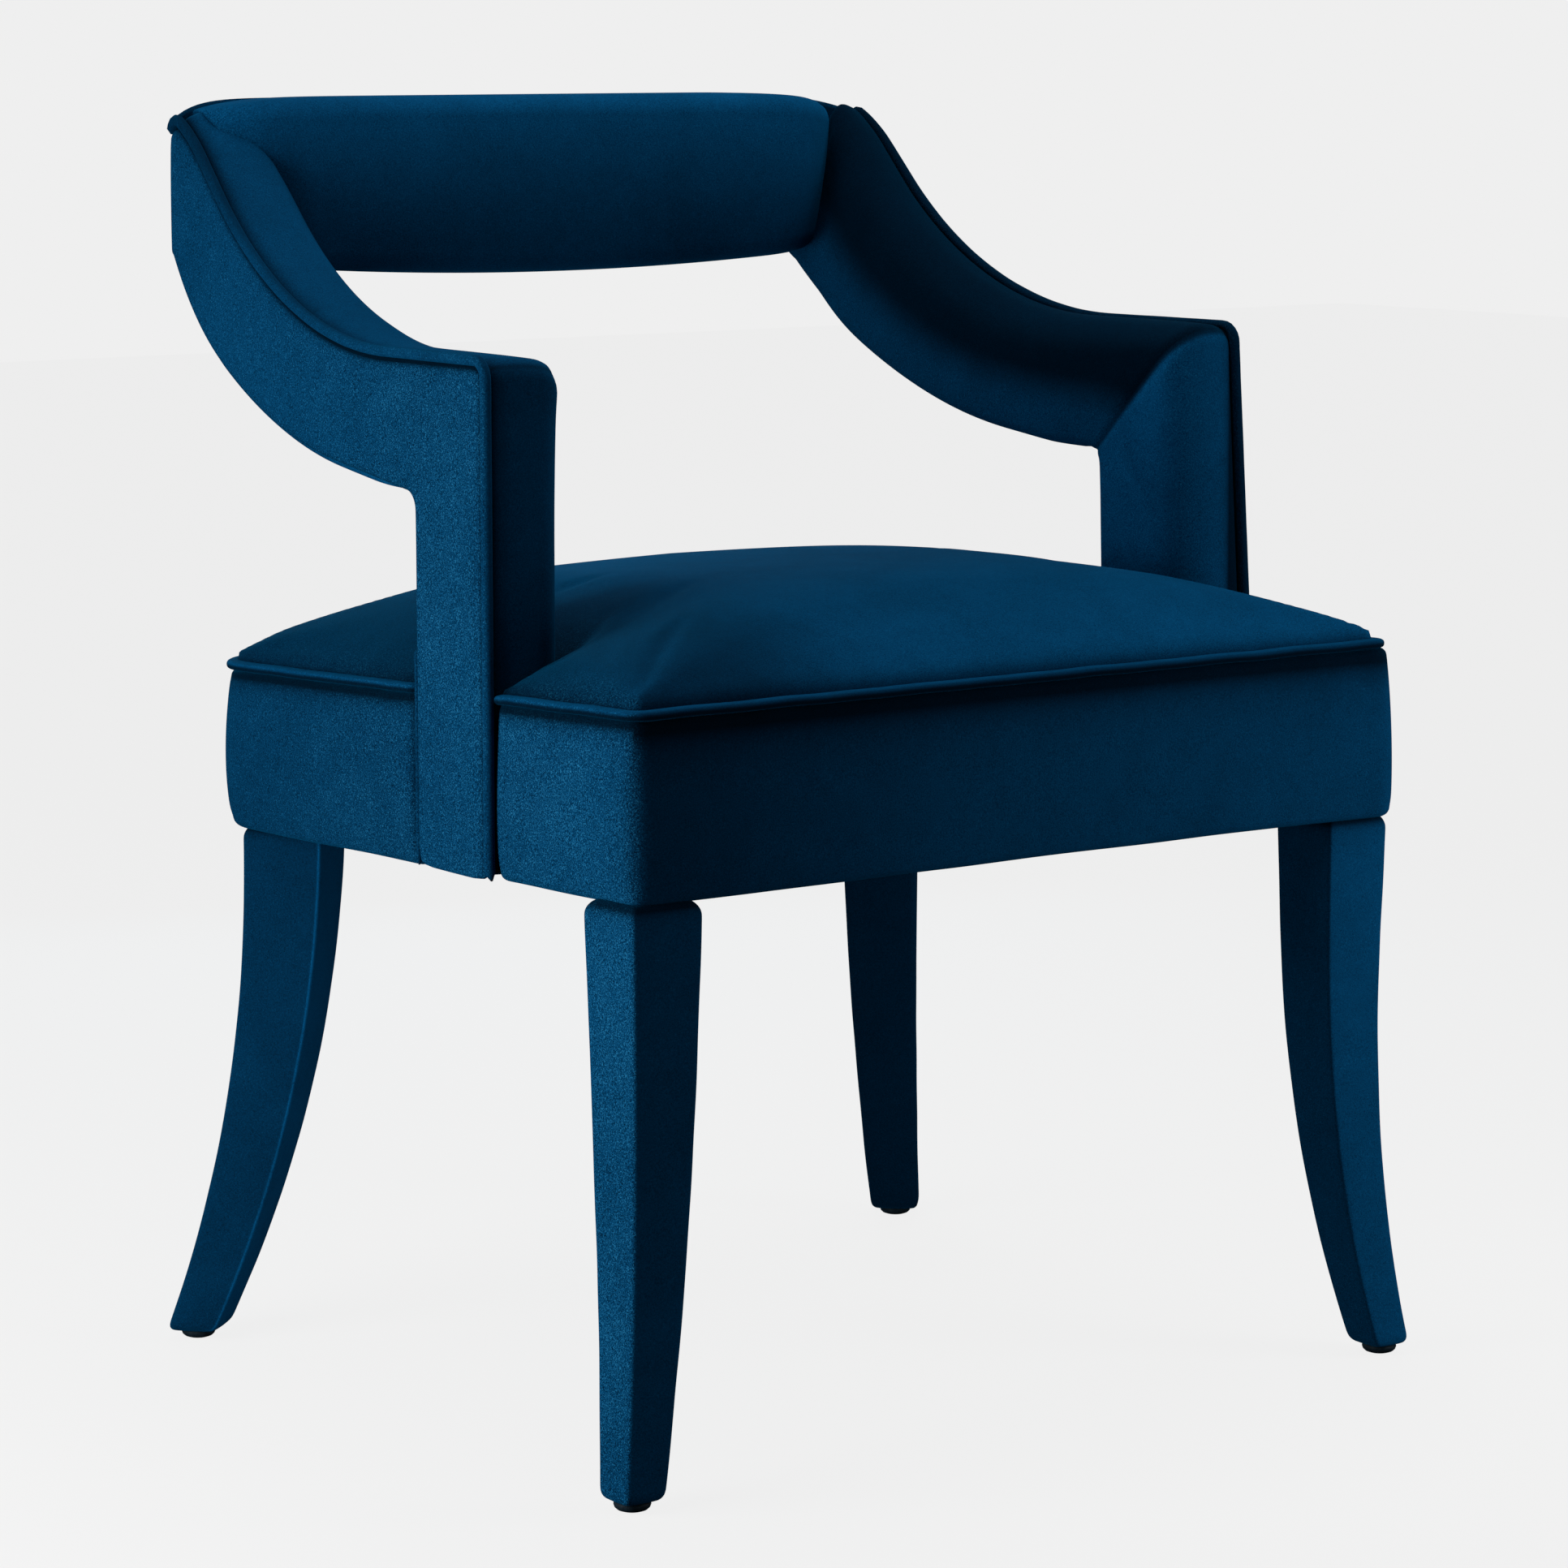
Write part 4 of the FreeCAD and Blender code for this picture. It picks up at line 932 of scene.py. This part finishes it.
def seat_stretch(front, limit, spacing):
    """The seat's outline in front of the posts, or behind them."""
    points, outward = seat_outline(0.0, spacing)
    if front:
        half = len(points) // 2
        points = concat([points[half:-1], points[:half]])
        outward = concat([outward[half:-1], outward[:half]])
    chosen = (points[:, 1] < limit) == front
    points, outward = points[chosen], outward[chosen]
    ends = []
    for end, neighbour in ((points[0], points[1]), (points[-1], points[-2])):
        run = end - neighbour
        ends.append(end + run * (limit - end[1]) / run[1])
    points = concat([ends[:1], points, ends[1:]])
    return points, concat([outward[:1], outward, outward[-1:]])


def boxing(front):
    """The padded band round the seat frame, before or behind the posts."""
    place = "front" if front else "rear"
    points, outward = seat_stretch(front, FRONT_LIMIT if front else REAR_LIMIT, 0.005)
    swell, stand_off = (0.0014, 0.0) if front else (0.0034, 0.0014)
    low_round, high_round, end_round = 0.0065, 0.005, 0.0028
    turn = steps(0, pi / 2, 6)
    t = steps(0, 1, 18)
    rings = []
    for point, out, near in zip(points, outward, from_ends(points)):
        low = between(UNDERSIDE, point[1]) - 0.0041
        height = between(RIM, point[1]) + 0.0004 - low
        h = concat([
            low_round * (1 - np.cos(turn)), low_round + (height - low_round - high_round) * t,
            height - high_round + high_round * np.sin(turn), [height, height], np.linspace(height, 0, 8),
            [0.0],
        ])
        d = concat([
            -low_round * (1 - np.sin(turn)),
            swell * np.sin(pi * t) ** 0.7 + 0.0012 * (1 - t) * np.sin(pi * t) ** 0.3,
            -high_round * (1 - np.cos(turn)), [-high_round, -0.007], np.full(8, BACKING), [-0.0075],
        ])
        back = end_round - math.sqrt(end_round ** 2 - (end_round - min(near, end_round)) ** 2)
        corner = math.exp(-math.hypot(point[0] - SEAT_HALF[0], point[1]) / 0.07)
        seen = d > SKIN
        d = np.maximum(d + stand_off * seen - back, BACKING)
        d += CORNER_FLARE * corner * seen * (1 - 0.4 * h / height)
        rings.append(chair_xyz(point[0] + out[0] * d, point[1] + out[1] * d, low + h))
    piece = loft(f"seat_band_{place}", rings)
    pinned, grid = ring_pins(len(rings), len(h))
    grid[:, -12:] = 1
    grid[:, :2] = 0.8
    grid[:2] = 1
    grid[-2:] = 1
    inflate(piece, pinned, 0.0028)
    shape = points_of(piece)
    below_rim = between(RIM, shape[:, 1] - FRONT) - shape[:, 2]
    pull = 0.0007 * ripple(shape * (1, 1, 0.3), 42, 11) * np.exp(-below_rim / 0.018)
    displace(piece, pull + 0.0006 * ripple(shape, 14, 12))
    subdivide(piece)
    shape = points_of(piece)
    v = shape[:, 1] - FRONT
    # painted light and shade: the sides lighter towards the front but dark right at the front corner, the front
    # lighter towards +X, and a painted shadow under the welt
    ahead = facing(normals_of(piece), 1, 0.35, 0.3)
    side_painted_light = (0.22 + 0.15 * (1 - v / SEAT_DEPTH) ** 2) * (1 - 0.45 * np.exp(-v / 0.012))
    front_painted_light = 0.220 + 0.185 * ease((shape[:, 0] + 0.31) / 0.36)
    tone_and_painted_light = side_painted_light + (front_painted_light - side_painted_light) * ahead
    shadow = fading(between(RIM, v) - shape[:, 2], 0.004 + 0.004 * ahead, 0.004 + 0.006 * ahead)
    finish(piece, "velvet", [f"boxing_{place}"], tone_and_painted_light=tone_and_painted_light * (1 - 0.9 * shadow))


def welt(front):
    """The flat welt between boxing and seat top."""
    place = "front" if front else "rear"
    points, outward = seat_stretch(front, FRONT_LIMIT + 0.001 if front else REAR_LIMIT, 0.004)
    # a rounded oblong section
    section = full_circle(20)
    section = np.sign(section) * np.abs(section) ** 0.75
    rings = []
    for point, out, near in zip(points, outward, from_ends(points)):
        grow = math.sqrt(max(0.02, 1 - (1 - min(near / 0.0018, 1)) ** 2))
        wave = noise.noise(Vector((point[0] * 30, point[1] * 30, 4.0))) * 0.0005
        d = -0.0018 + 0.0058 * grow * section[:, 0]
        z = between(RIM, point[1]) + 0.0032 + 0.0031 * grow * section[:, 1] + wave
        rings.append(chair_xyz(point[0] + out[0] * d, point[1] + out[1] * d, z))
    piece = loft(f"seat_welt_piece_{place}", rings)
    subdivide(piece)
    normals = normals_of(piece)
    # painted light and shade: the welt's upper side lit and its underside nearly black, the front faces a little
    # darker
    upward = ease((normals[:, 2] + 0.15) / 0.7)
    tone_and_painted_light = 0.03 + (0.34 - 0.12 * facing(normals, 1, 0.35, 0.3)) * upward
    finish(piece, "piping", [f"seat_welt_{place}"], tone_and_painted_light=tone_and_painted_light)


def straight_gap(x, v):
    """How far a place on the seat lies from its nearest side."""
    return np.minimum(between(SEAT_HALF, v) - np.abs(x), np.minimum(v, SEAT_DEPTH - v))


def gap_to_post(x, v, inner):
    """How far a place on the seat lies from a post whose inner face is at inner."""
    beside = np.maximum(inner - np.abs(x), 0)
    return np.hypot(beside, np.maximum(np.maximum(POST_FRONT - v, v - POST_BACK), 0))


def dome_height(x, v, rim_gap):
    """Height of the seat's crowned top, drawn down beside the posts."""
    edge = 0.0078
    across = np.clip(1 - np.abs(x) / between(SEAT_HALF, v), 0.0001, 1)
    along = np.clip(1 - np.abs(2 * v / SEAT_DEPTH - 1), 0.0001, 1)
    inward = (2 / (across ** -1.5 + along ** -1.5)) ** (1 / 1.5)
    inward *= np.clip(rim_gap / np.maximum(straight_gap(x, v), 0.0001), 0, 1)
    height = between(RIM, v) + edge + (CROWN - edge) * (1 - (1 - inward) ** 2.9)
    apart = gap_to_post(x, v, ARM_INNER - 0.002)
    dip = 0.45 * np.exp(-(apart / 0.014) ** 1.3) + 0.12 * np.exp(-(apart / 0.050) ** 2)
    return height - dip * (height - between(RIM, v) - 0.004)


def seat_grid(inset, columns, rows):
    """A grid of (x, v) points whose border follows the seat's outline."""
    outline, _ = seat_outline(inset, 0.001)
    front_left, rear_left, rear_right, front_right = [
        int(np.argmin(np.linalg.norm(outline - corner, axis=1))) for corner in (
            (0.30, 0.0), (0.30, SEAT_DEPTH), (-0.30, SEAT_DEPTH), (-0.30, 0.0))]
    plus_side = resample(outline[front_left:rear_left + 1], rows + 1)
    rear = resample(outline[rear_left:rear_right + 1], columns + 1)[::-1]
    minus_side = resample(outline[rear_right:front_right + 1], rows + 1)[::-1]
    front = resample(concat([outline[front_right:-1], outline[:front_left + 1]]), columns + 1)
    a = np.linspace(0, 1, columns + 1)[None, :, None]
    b = np.linspace(0, 1, rows + 1)[:, None, None]
    blended = (1 - b) * front[None] + b * rear[None] + (1 - a) * minus_side[:, None] + a * plus_side[:, None]
    blended -= (1 - a) * (1 - b) * front[0] + a * (1 - b) * front[-1]
    return blended - ((1 - a) * b * rear[0] + a * b * rear[-1])


def seat_cushion():
    """The domed seat top, with a notch for each post."""
    columns, rows = 124, 104
    rim_height, tucks = 0.0035, 3
    x, v = seat_grid(0.0030, columns, rows).reshape(-1, 2).T
    index = np.arange(len(x)).reshape(rows + 1, columns + 1)
    loop = grid_border(index)
    outline, _ = seat_outline(0.0, 0.002)
    heights = dome_height(x, v, gap_to_line(np.stack([x, v], axis=1), outline))
    heights[loop] = between(RIM, v[loop]) + rim_height
    top = chair_xyz(x, v, heights)
    faces = [*grid_faces(index)]
    verts = [top]
    above = loop
    # the cloth is tucked under all round, a little further in at each step
    middle = np.array([0.0, FRONT + SEAT_DEPTH / 2, 0.0])
    for level in range(1, tucks + 1):
        shrunk = middle + (top[loop] - middle) * (1 - 0.012 * level, 1 - 0.012 * level, 1.0)
        verts.append(shrunk - (0, 0, rim_height * level))
        below = len(top) + (level - 1) * len(loop) + np.arange(len(loop))
        faces += skirt(above, below)
        above = below
    verts.append([middle + (0, 0, RIM[1] - 0.004)])
    hub = len(top) + tucks * len(loop)
    faces += [(a, b, hub) for a, b in zip(above, np.roll(above, -1))]
    piece = new_piece("seat_cushion", concat(verts), faces)
    shape = points_of(piece)
    v = shape[:, 1] - FRONT
    beside = np.abs(shape[:, 0]) > ARM_INNER - 0.004
    pinned = np.where(beside & (v > POST_FRONT - 0.004) & (v < POST_BACK + 0.004), 1.0, 0.0)
    pinned[loop] = 1
    pinned[len(top):] = 1
    inflate(piece, pinned, 0.003, pressure=3.0)
    shape = points_of(piece)
    near_rim = np.exp(-((straight_gap(shape[:, 0], v) - 0.012) / 0.012) ** 2)
    tug = 0.0005 * ripple(shape * (1, 1, 0), 40, 22) * near_rim
    displace(piece, (0.0009 * ripple(shape, 7, 21) + tug) * (1 - pinned))
    for _, sign in SIDES:
        cut_notch(piece, sign)
    x, y, _ = points_of(piece).T
    v = y - FRONT
    # painted light and shade: darker towards -X, lighter towards the rear and the front slope, with painted shade
    # along the rim and round the posts
    tone_and_painted_light = 0.27 - 0.16 * ease((-x - 0.10) / 0.12)
    tone_and_painted_light *= 1 + 0.25 * ease((v - 0.18) / 0.2)
    tone_and_painted_light *= (1 - 0.45 * fading(straight_gap(x, v), 0.004, 0.004)) * (1.12 + 1.15 * np.exp(-v / 0.06))
    tone_and_painted_light *= 1 - 0.75 * np.exp(-gap_to_post(x, v, ARM_INNER) / 0.020)
    finish(piece, "velvet", ["seat_cover", "seat_foam"], tone_and_painted_light=tone_and_painted_light)


def cut_notch(piece, sign):
    """Cuts the room for one post out of the cushion."""
    corners = [(x, FRONT + v, z) for z in (0.40, 0.56) for v in (POST_FRONT - 0.0026, POST_BACK + 0.0012)
               for x in (ARM_INNER - 0.0035, 0.33)]
    faces = [(0, 1, 3, 2), (4, 6, 7, 5), (0, 4, 5, 1), (2, 3, 7, 6), (0, 2, 6, 4), (1, 5, 7, 3)]
    cutter = new_piece("notch_cutter", mirrored(corners, sign), faces)
    cut = piece.modifiers.new("notch", "BOOLEAN")
    cut.object = cutter
    cut.operation = "DIFFERENCE"
    cut.solver = "EXACT"
    apply_modifiers(piece)
    bpy.data.objects.remove(cutter)


# -------- legs

LEGS = {
    # x, v, half width at top and foot, flare sideways and backwards, height of the bend, turn in degrees,
    # sharpness of the bend, belly
    "front_leg": (0.2692, 0.0235, 0.0248, 0.0136, 0.0277, -0.025, 0.295, 0.0, 2.3, 0.0009),
    "rear_leg": (0.2394, 0.449, 0.0260, 0.0160, 0.0525, 0.047, 0.350, 50.0, 2.12, 0.0010),
}
LEG_FOOT = 0.006
LEG_EDGE = 0.0030
LEG_SIDE_PAINTED_LIGHT = 0.24


def square_ring(half):
    """A square with rounded corners and faintly swollen sides."""
    ring = []
    t = np.linspace(0, 1, 8)[1:-1, None]
    for start in np.arange(4) * pi / 2:
        centre = circle(start + pi / 4) * math.sqrt(2) * (half - LEG_EDGE)
        out, along = circle(start + pi / 2), circle(start + pi)
        ring.append(centre + LEG_EDGE * circle(np.linspace(start, start + pi / 2, 5)))
        ring.append(centre + out * (LEG_EDGE + 0.0005 * np.sin(pi * t)) + along * 2 * (half - LEG_EDGE) * t)
    return concat(ring)


def leg_cover(leg, side, sign):
    """A leg in its velvet sleeve."""
    x0, v0, top_half, foot_half, flare, kick, bend, turn, curl, belly = LEGS[leg]
    top = between(UNDERSIDE, v0) - 0.0018
    spin = circle(math.radians(turn) + np.array([0, pi / 2]))
    levels = concat([
        LEG_FOOT + np.array([0.0, 0.0008, 0.002, 0.0035, 0.006]),
        np.linspace(LEG_FOOT + 0.009, top - 0.014, 70),
        top - np.array([0.0115, 0.009, 0.007, 0.005, 0.0032, 0.0018, 0.0008, 0.0]),
    ])
    rings = []
    for z in levels:
        fraction = (z - LEG_FOOT) / (top - LEG_FOOT)
        shoulder = max(0.0, 1 - (top - z) / 0.010)
        toe = max(0.0, 1 - (z - LEG_FOOT) / 0.006)
        half = foot_half + (top_half - foot_half) * fraction + 0.0006 + belly * math.sin(pi * fraction)
        half -= 0.009 * (1 - math.sqrt(1 - shoulder ** 2 * 0.98))
        half -= 0.0045 * (1 - math.sqrt(1 - toe ** 2 * 0.98))
        swing = max(0.0, 1 - z / bend) ** curl
        x, v = (square_ring(half) @ spin).T
        # the top follows the slope of the seat's underside
        slope = max(0.0, (fraction - 0.95) / 0.05) * (UNDERSIDE[0] - UNDERSIDE[1]) / SEAT_DEPTH
        z = z - slope * (kick * swing + v)
        rings.append(chair_xyz(x0 + flare * swing + x, v0 + kick * swing + v, z))
    piece = loft(f"{leg}_velvet_{side}", mirrored(rings, sign))
    shape = points_of(piece)
    pull = 0.0006 * ripple(shape * (1, 1, 0.35), 110, 31 + sign) * np.exp((shape[:, 2] - top) / 0.010)
    displace(piece, pull + 0.00035 * ripple(shape, 25, 33 + sign))
    subdivide(piece)
    normals = normals_of(piece)
    # painted light and shade: each face as lit from -X and -Y, set per leg, with a painted shadow at the top under
    # the seat
    leftward = facing(normals, 0, 0.3, 0.4)
    forward = facing(normals, 1, 0.3, 0.4) * (1 - leftward)
    left_painted_light, front_painted_light = LEG_PAINTED_LIGHT[leg, side]
    tone_and_painted_light = LEG_SIDE_PAINTED_LIGHT + (left_painted_light - LEG_SIDE_PAINTED_LIGHT) * leftward + (front_painted_light - LEG_SIDE_PAINTED_LIGHT) * forward
    tone_and_painted_light *= 1 - 0.85 * fading(top - points_of(piece)[:, 2], 0.004, 0.003)
    # painted glints mostly on the front right leg
    sparkle = 0.75 if (leg, side) == ("front_leg", "right") else 0.1
    finish(piece, "velvet", [f"{leg}_cover_{side}", f"{leg}_{side}"], tone_and_painted_light=tone_and_painted_light, sparkle=sparkle)


# radii and heights
GLIDE_OUTLINE = [
    (0.0040, 0.0), (0.0068, 0.0003), (0.0090, 0.0011), (0.0104, 0.0024), (0.0110, 0.0040), (0.0108, 0.0060)]


def glide(leg, side, sign):
    """The round glide under a leg."""
    x0, v0, _, _, flare, kick, bend, _, curl, _ = LEGS[leg]
    swing = (1 - LEG_FOOT / bend) ** curl
    middle = np.array([x0 + flare * swing, v0 + kick * swing])
    rings = [chair_xyz(*(middle + radius * full_circle(48)).T, z) for radius, z in GLIDE_OUTLINE]
    piece = loft(f"{leg}_glide_piece_{side}", mirrored(rings, sign))
    finish(piece, "glide", [leg.replace("leg", "glide") + f"_{side}"])


# -------- everything together

for side, sign in SIDES:
    arm_pad(side, sign)
    arm_panel(side, sign)
    arm_cords(side, sign)
    for leg in LEGS:
        leg_cover(leg, side, sign)
        glide(leg, side, sign)
backrest()
outer_back()
for front in (True, False):
    boxing(front)
for front in (True, False):
    welt(front)
seat_cushion()

# -------- floor, light and camera

FLOOR = [(-9, -9, -0.0005), (9, -9, -0.0005), (9, 9, -0.0005), (-9, 9, -0.0005)]


def seen_glow(tree, strength):
    """A brightness that only the camera sees."""
    rays = tree.nodes.new("ShaderNodeLightPath")
    return maths(tree, "MULTIPLY", rays.outputs["Is Camera Ray"], strength)


pale, tree, shader = start_material("pale_floor", {
    "Base Color": (0.05, 0.05, 0.05, 1), "Roughness": 0.9, "Specular IOR Level": 0.0,
    "Emission Color": (1, 1, 1, 1)})
tree.links.new(seen_glow(tree, 0.84), shader.inputs["Emission Strength"])
floor = new_piece("floor", FLOOR, [(0, 1, 2, 3)])
floor.data.materials.append(pale)

world = bpy.data.worlds.new("studio")
scene.world = world
world.use_nodes = True
tree = world.node_tree
background = tree.nodes["Background"]
background.inputs["Color"].default_value = (0.863, 0.863, 0.863, 1)
tree.links.new(maths(tree, "ADD", seen_glow(tree, 0.88), 0.12), background.inputs["Strength"])


def aim(thing, location, direction):
    """Adds a light or camera to the scene, looking along a direction."""
    thing.location = location
    thing.rotation_mode = "QUATERNION"
    thing.rotation_quaternion = direction.to_track_quat("-Z", "Y")
    scene.collection.objects.link(thing)


def softbox(name, location, target, width, height, power, colour=(1, 1, 1)):
    """A rectangular studio light that faces a target."""
    data = bpy.data.lights.new(name, "AREA")
    data.shape = "RECTANGLE"
    data.size = width
    data.size_y = height
    data.energy = power
    data.color = colour
    aim(bpy.data.objects.new(name, data), location, Vector(target) - Vector(location))


softbox("key", (-1.25, 0.05, 0.42), (0.0, 0.05, 0.42), 0.8, 0.9, 17)
softbox("front_right", (0.80, -0.85, 0.40), (0.35, -0.2, 0.35), 0.35, 0.7, 5.0)
softbox("overhead", (0.15, 0.1, 1.9), (0.05, 0.0, 0.4), 1.0, 1.0, 14)
softbox("rear_fill", (0.7, 1.5, 0.7), (0.0, 0.0, 0.5), 1.2, 1.0, 5, (0.45, 0.8, 1.0))

azimuth = math.radians(-37.20)
elevation = math.radians(8.41)
back = Vector((
    math.sin(azimuth) * math.cos(elevation), -math.cos(azimuth) * math.cos(elevation), math.sin(elevation)))
camera_data = bpy.data.cameras.new("camera")
camera_data.lens = 117.8
camera = bpy.data.objects.new("camera", camera_data)
aim(camera, (-1.9565, -2.5923, 0.8458), -back)
scene.camera = camera
scene.view_settings.view_transform = "Standard"
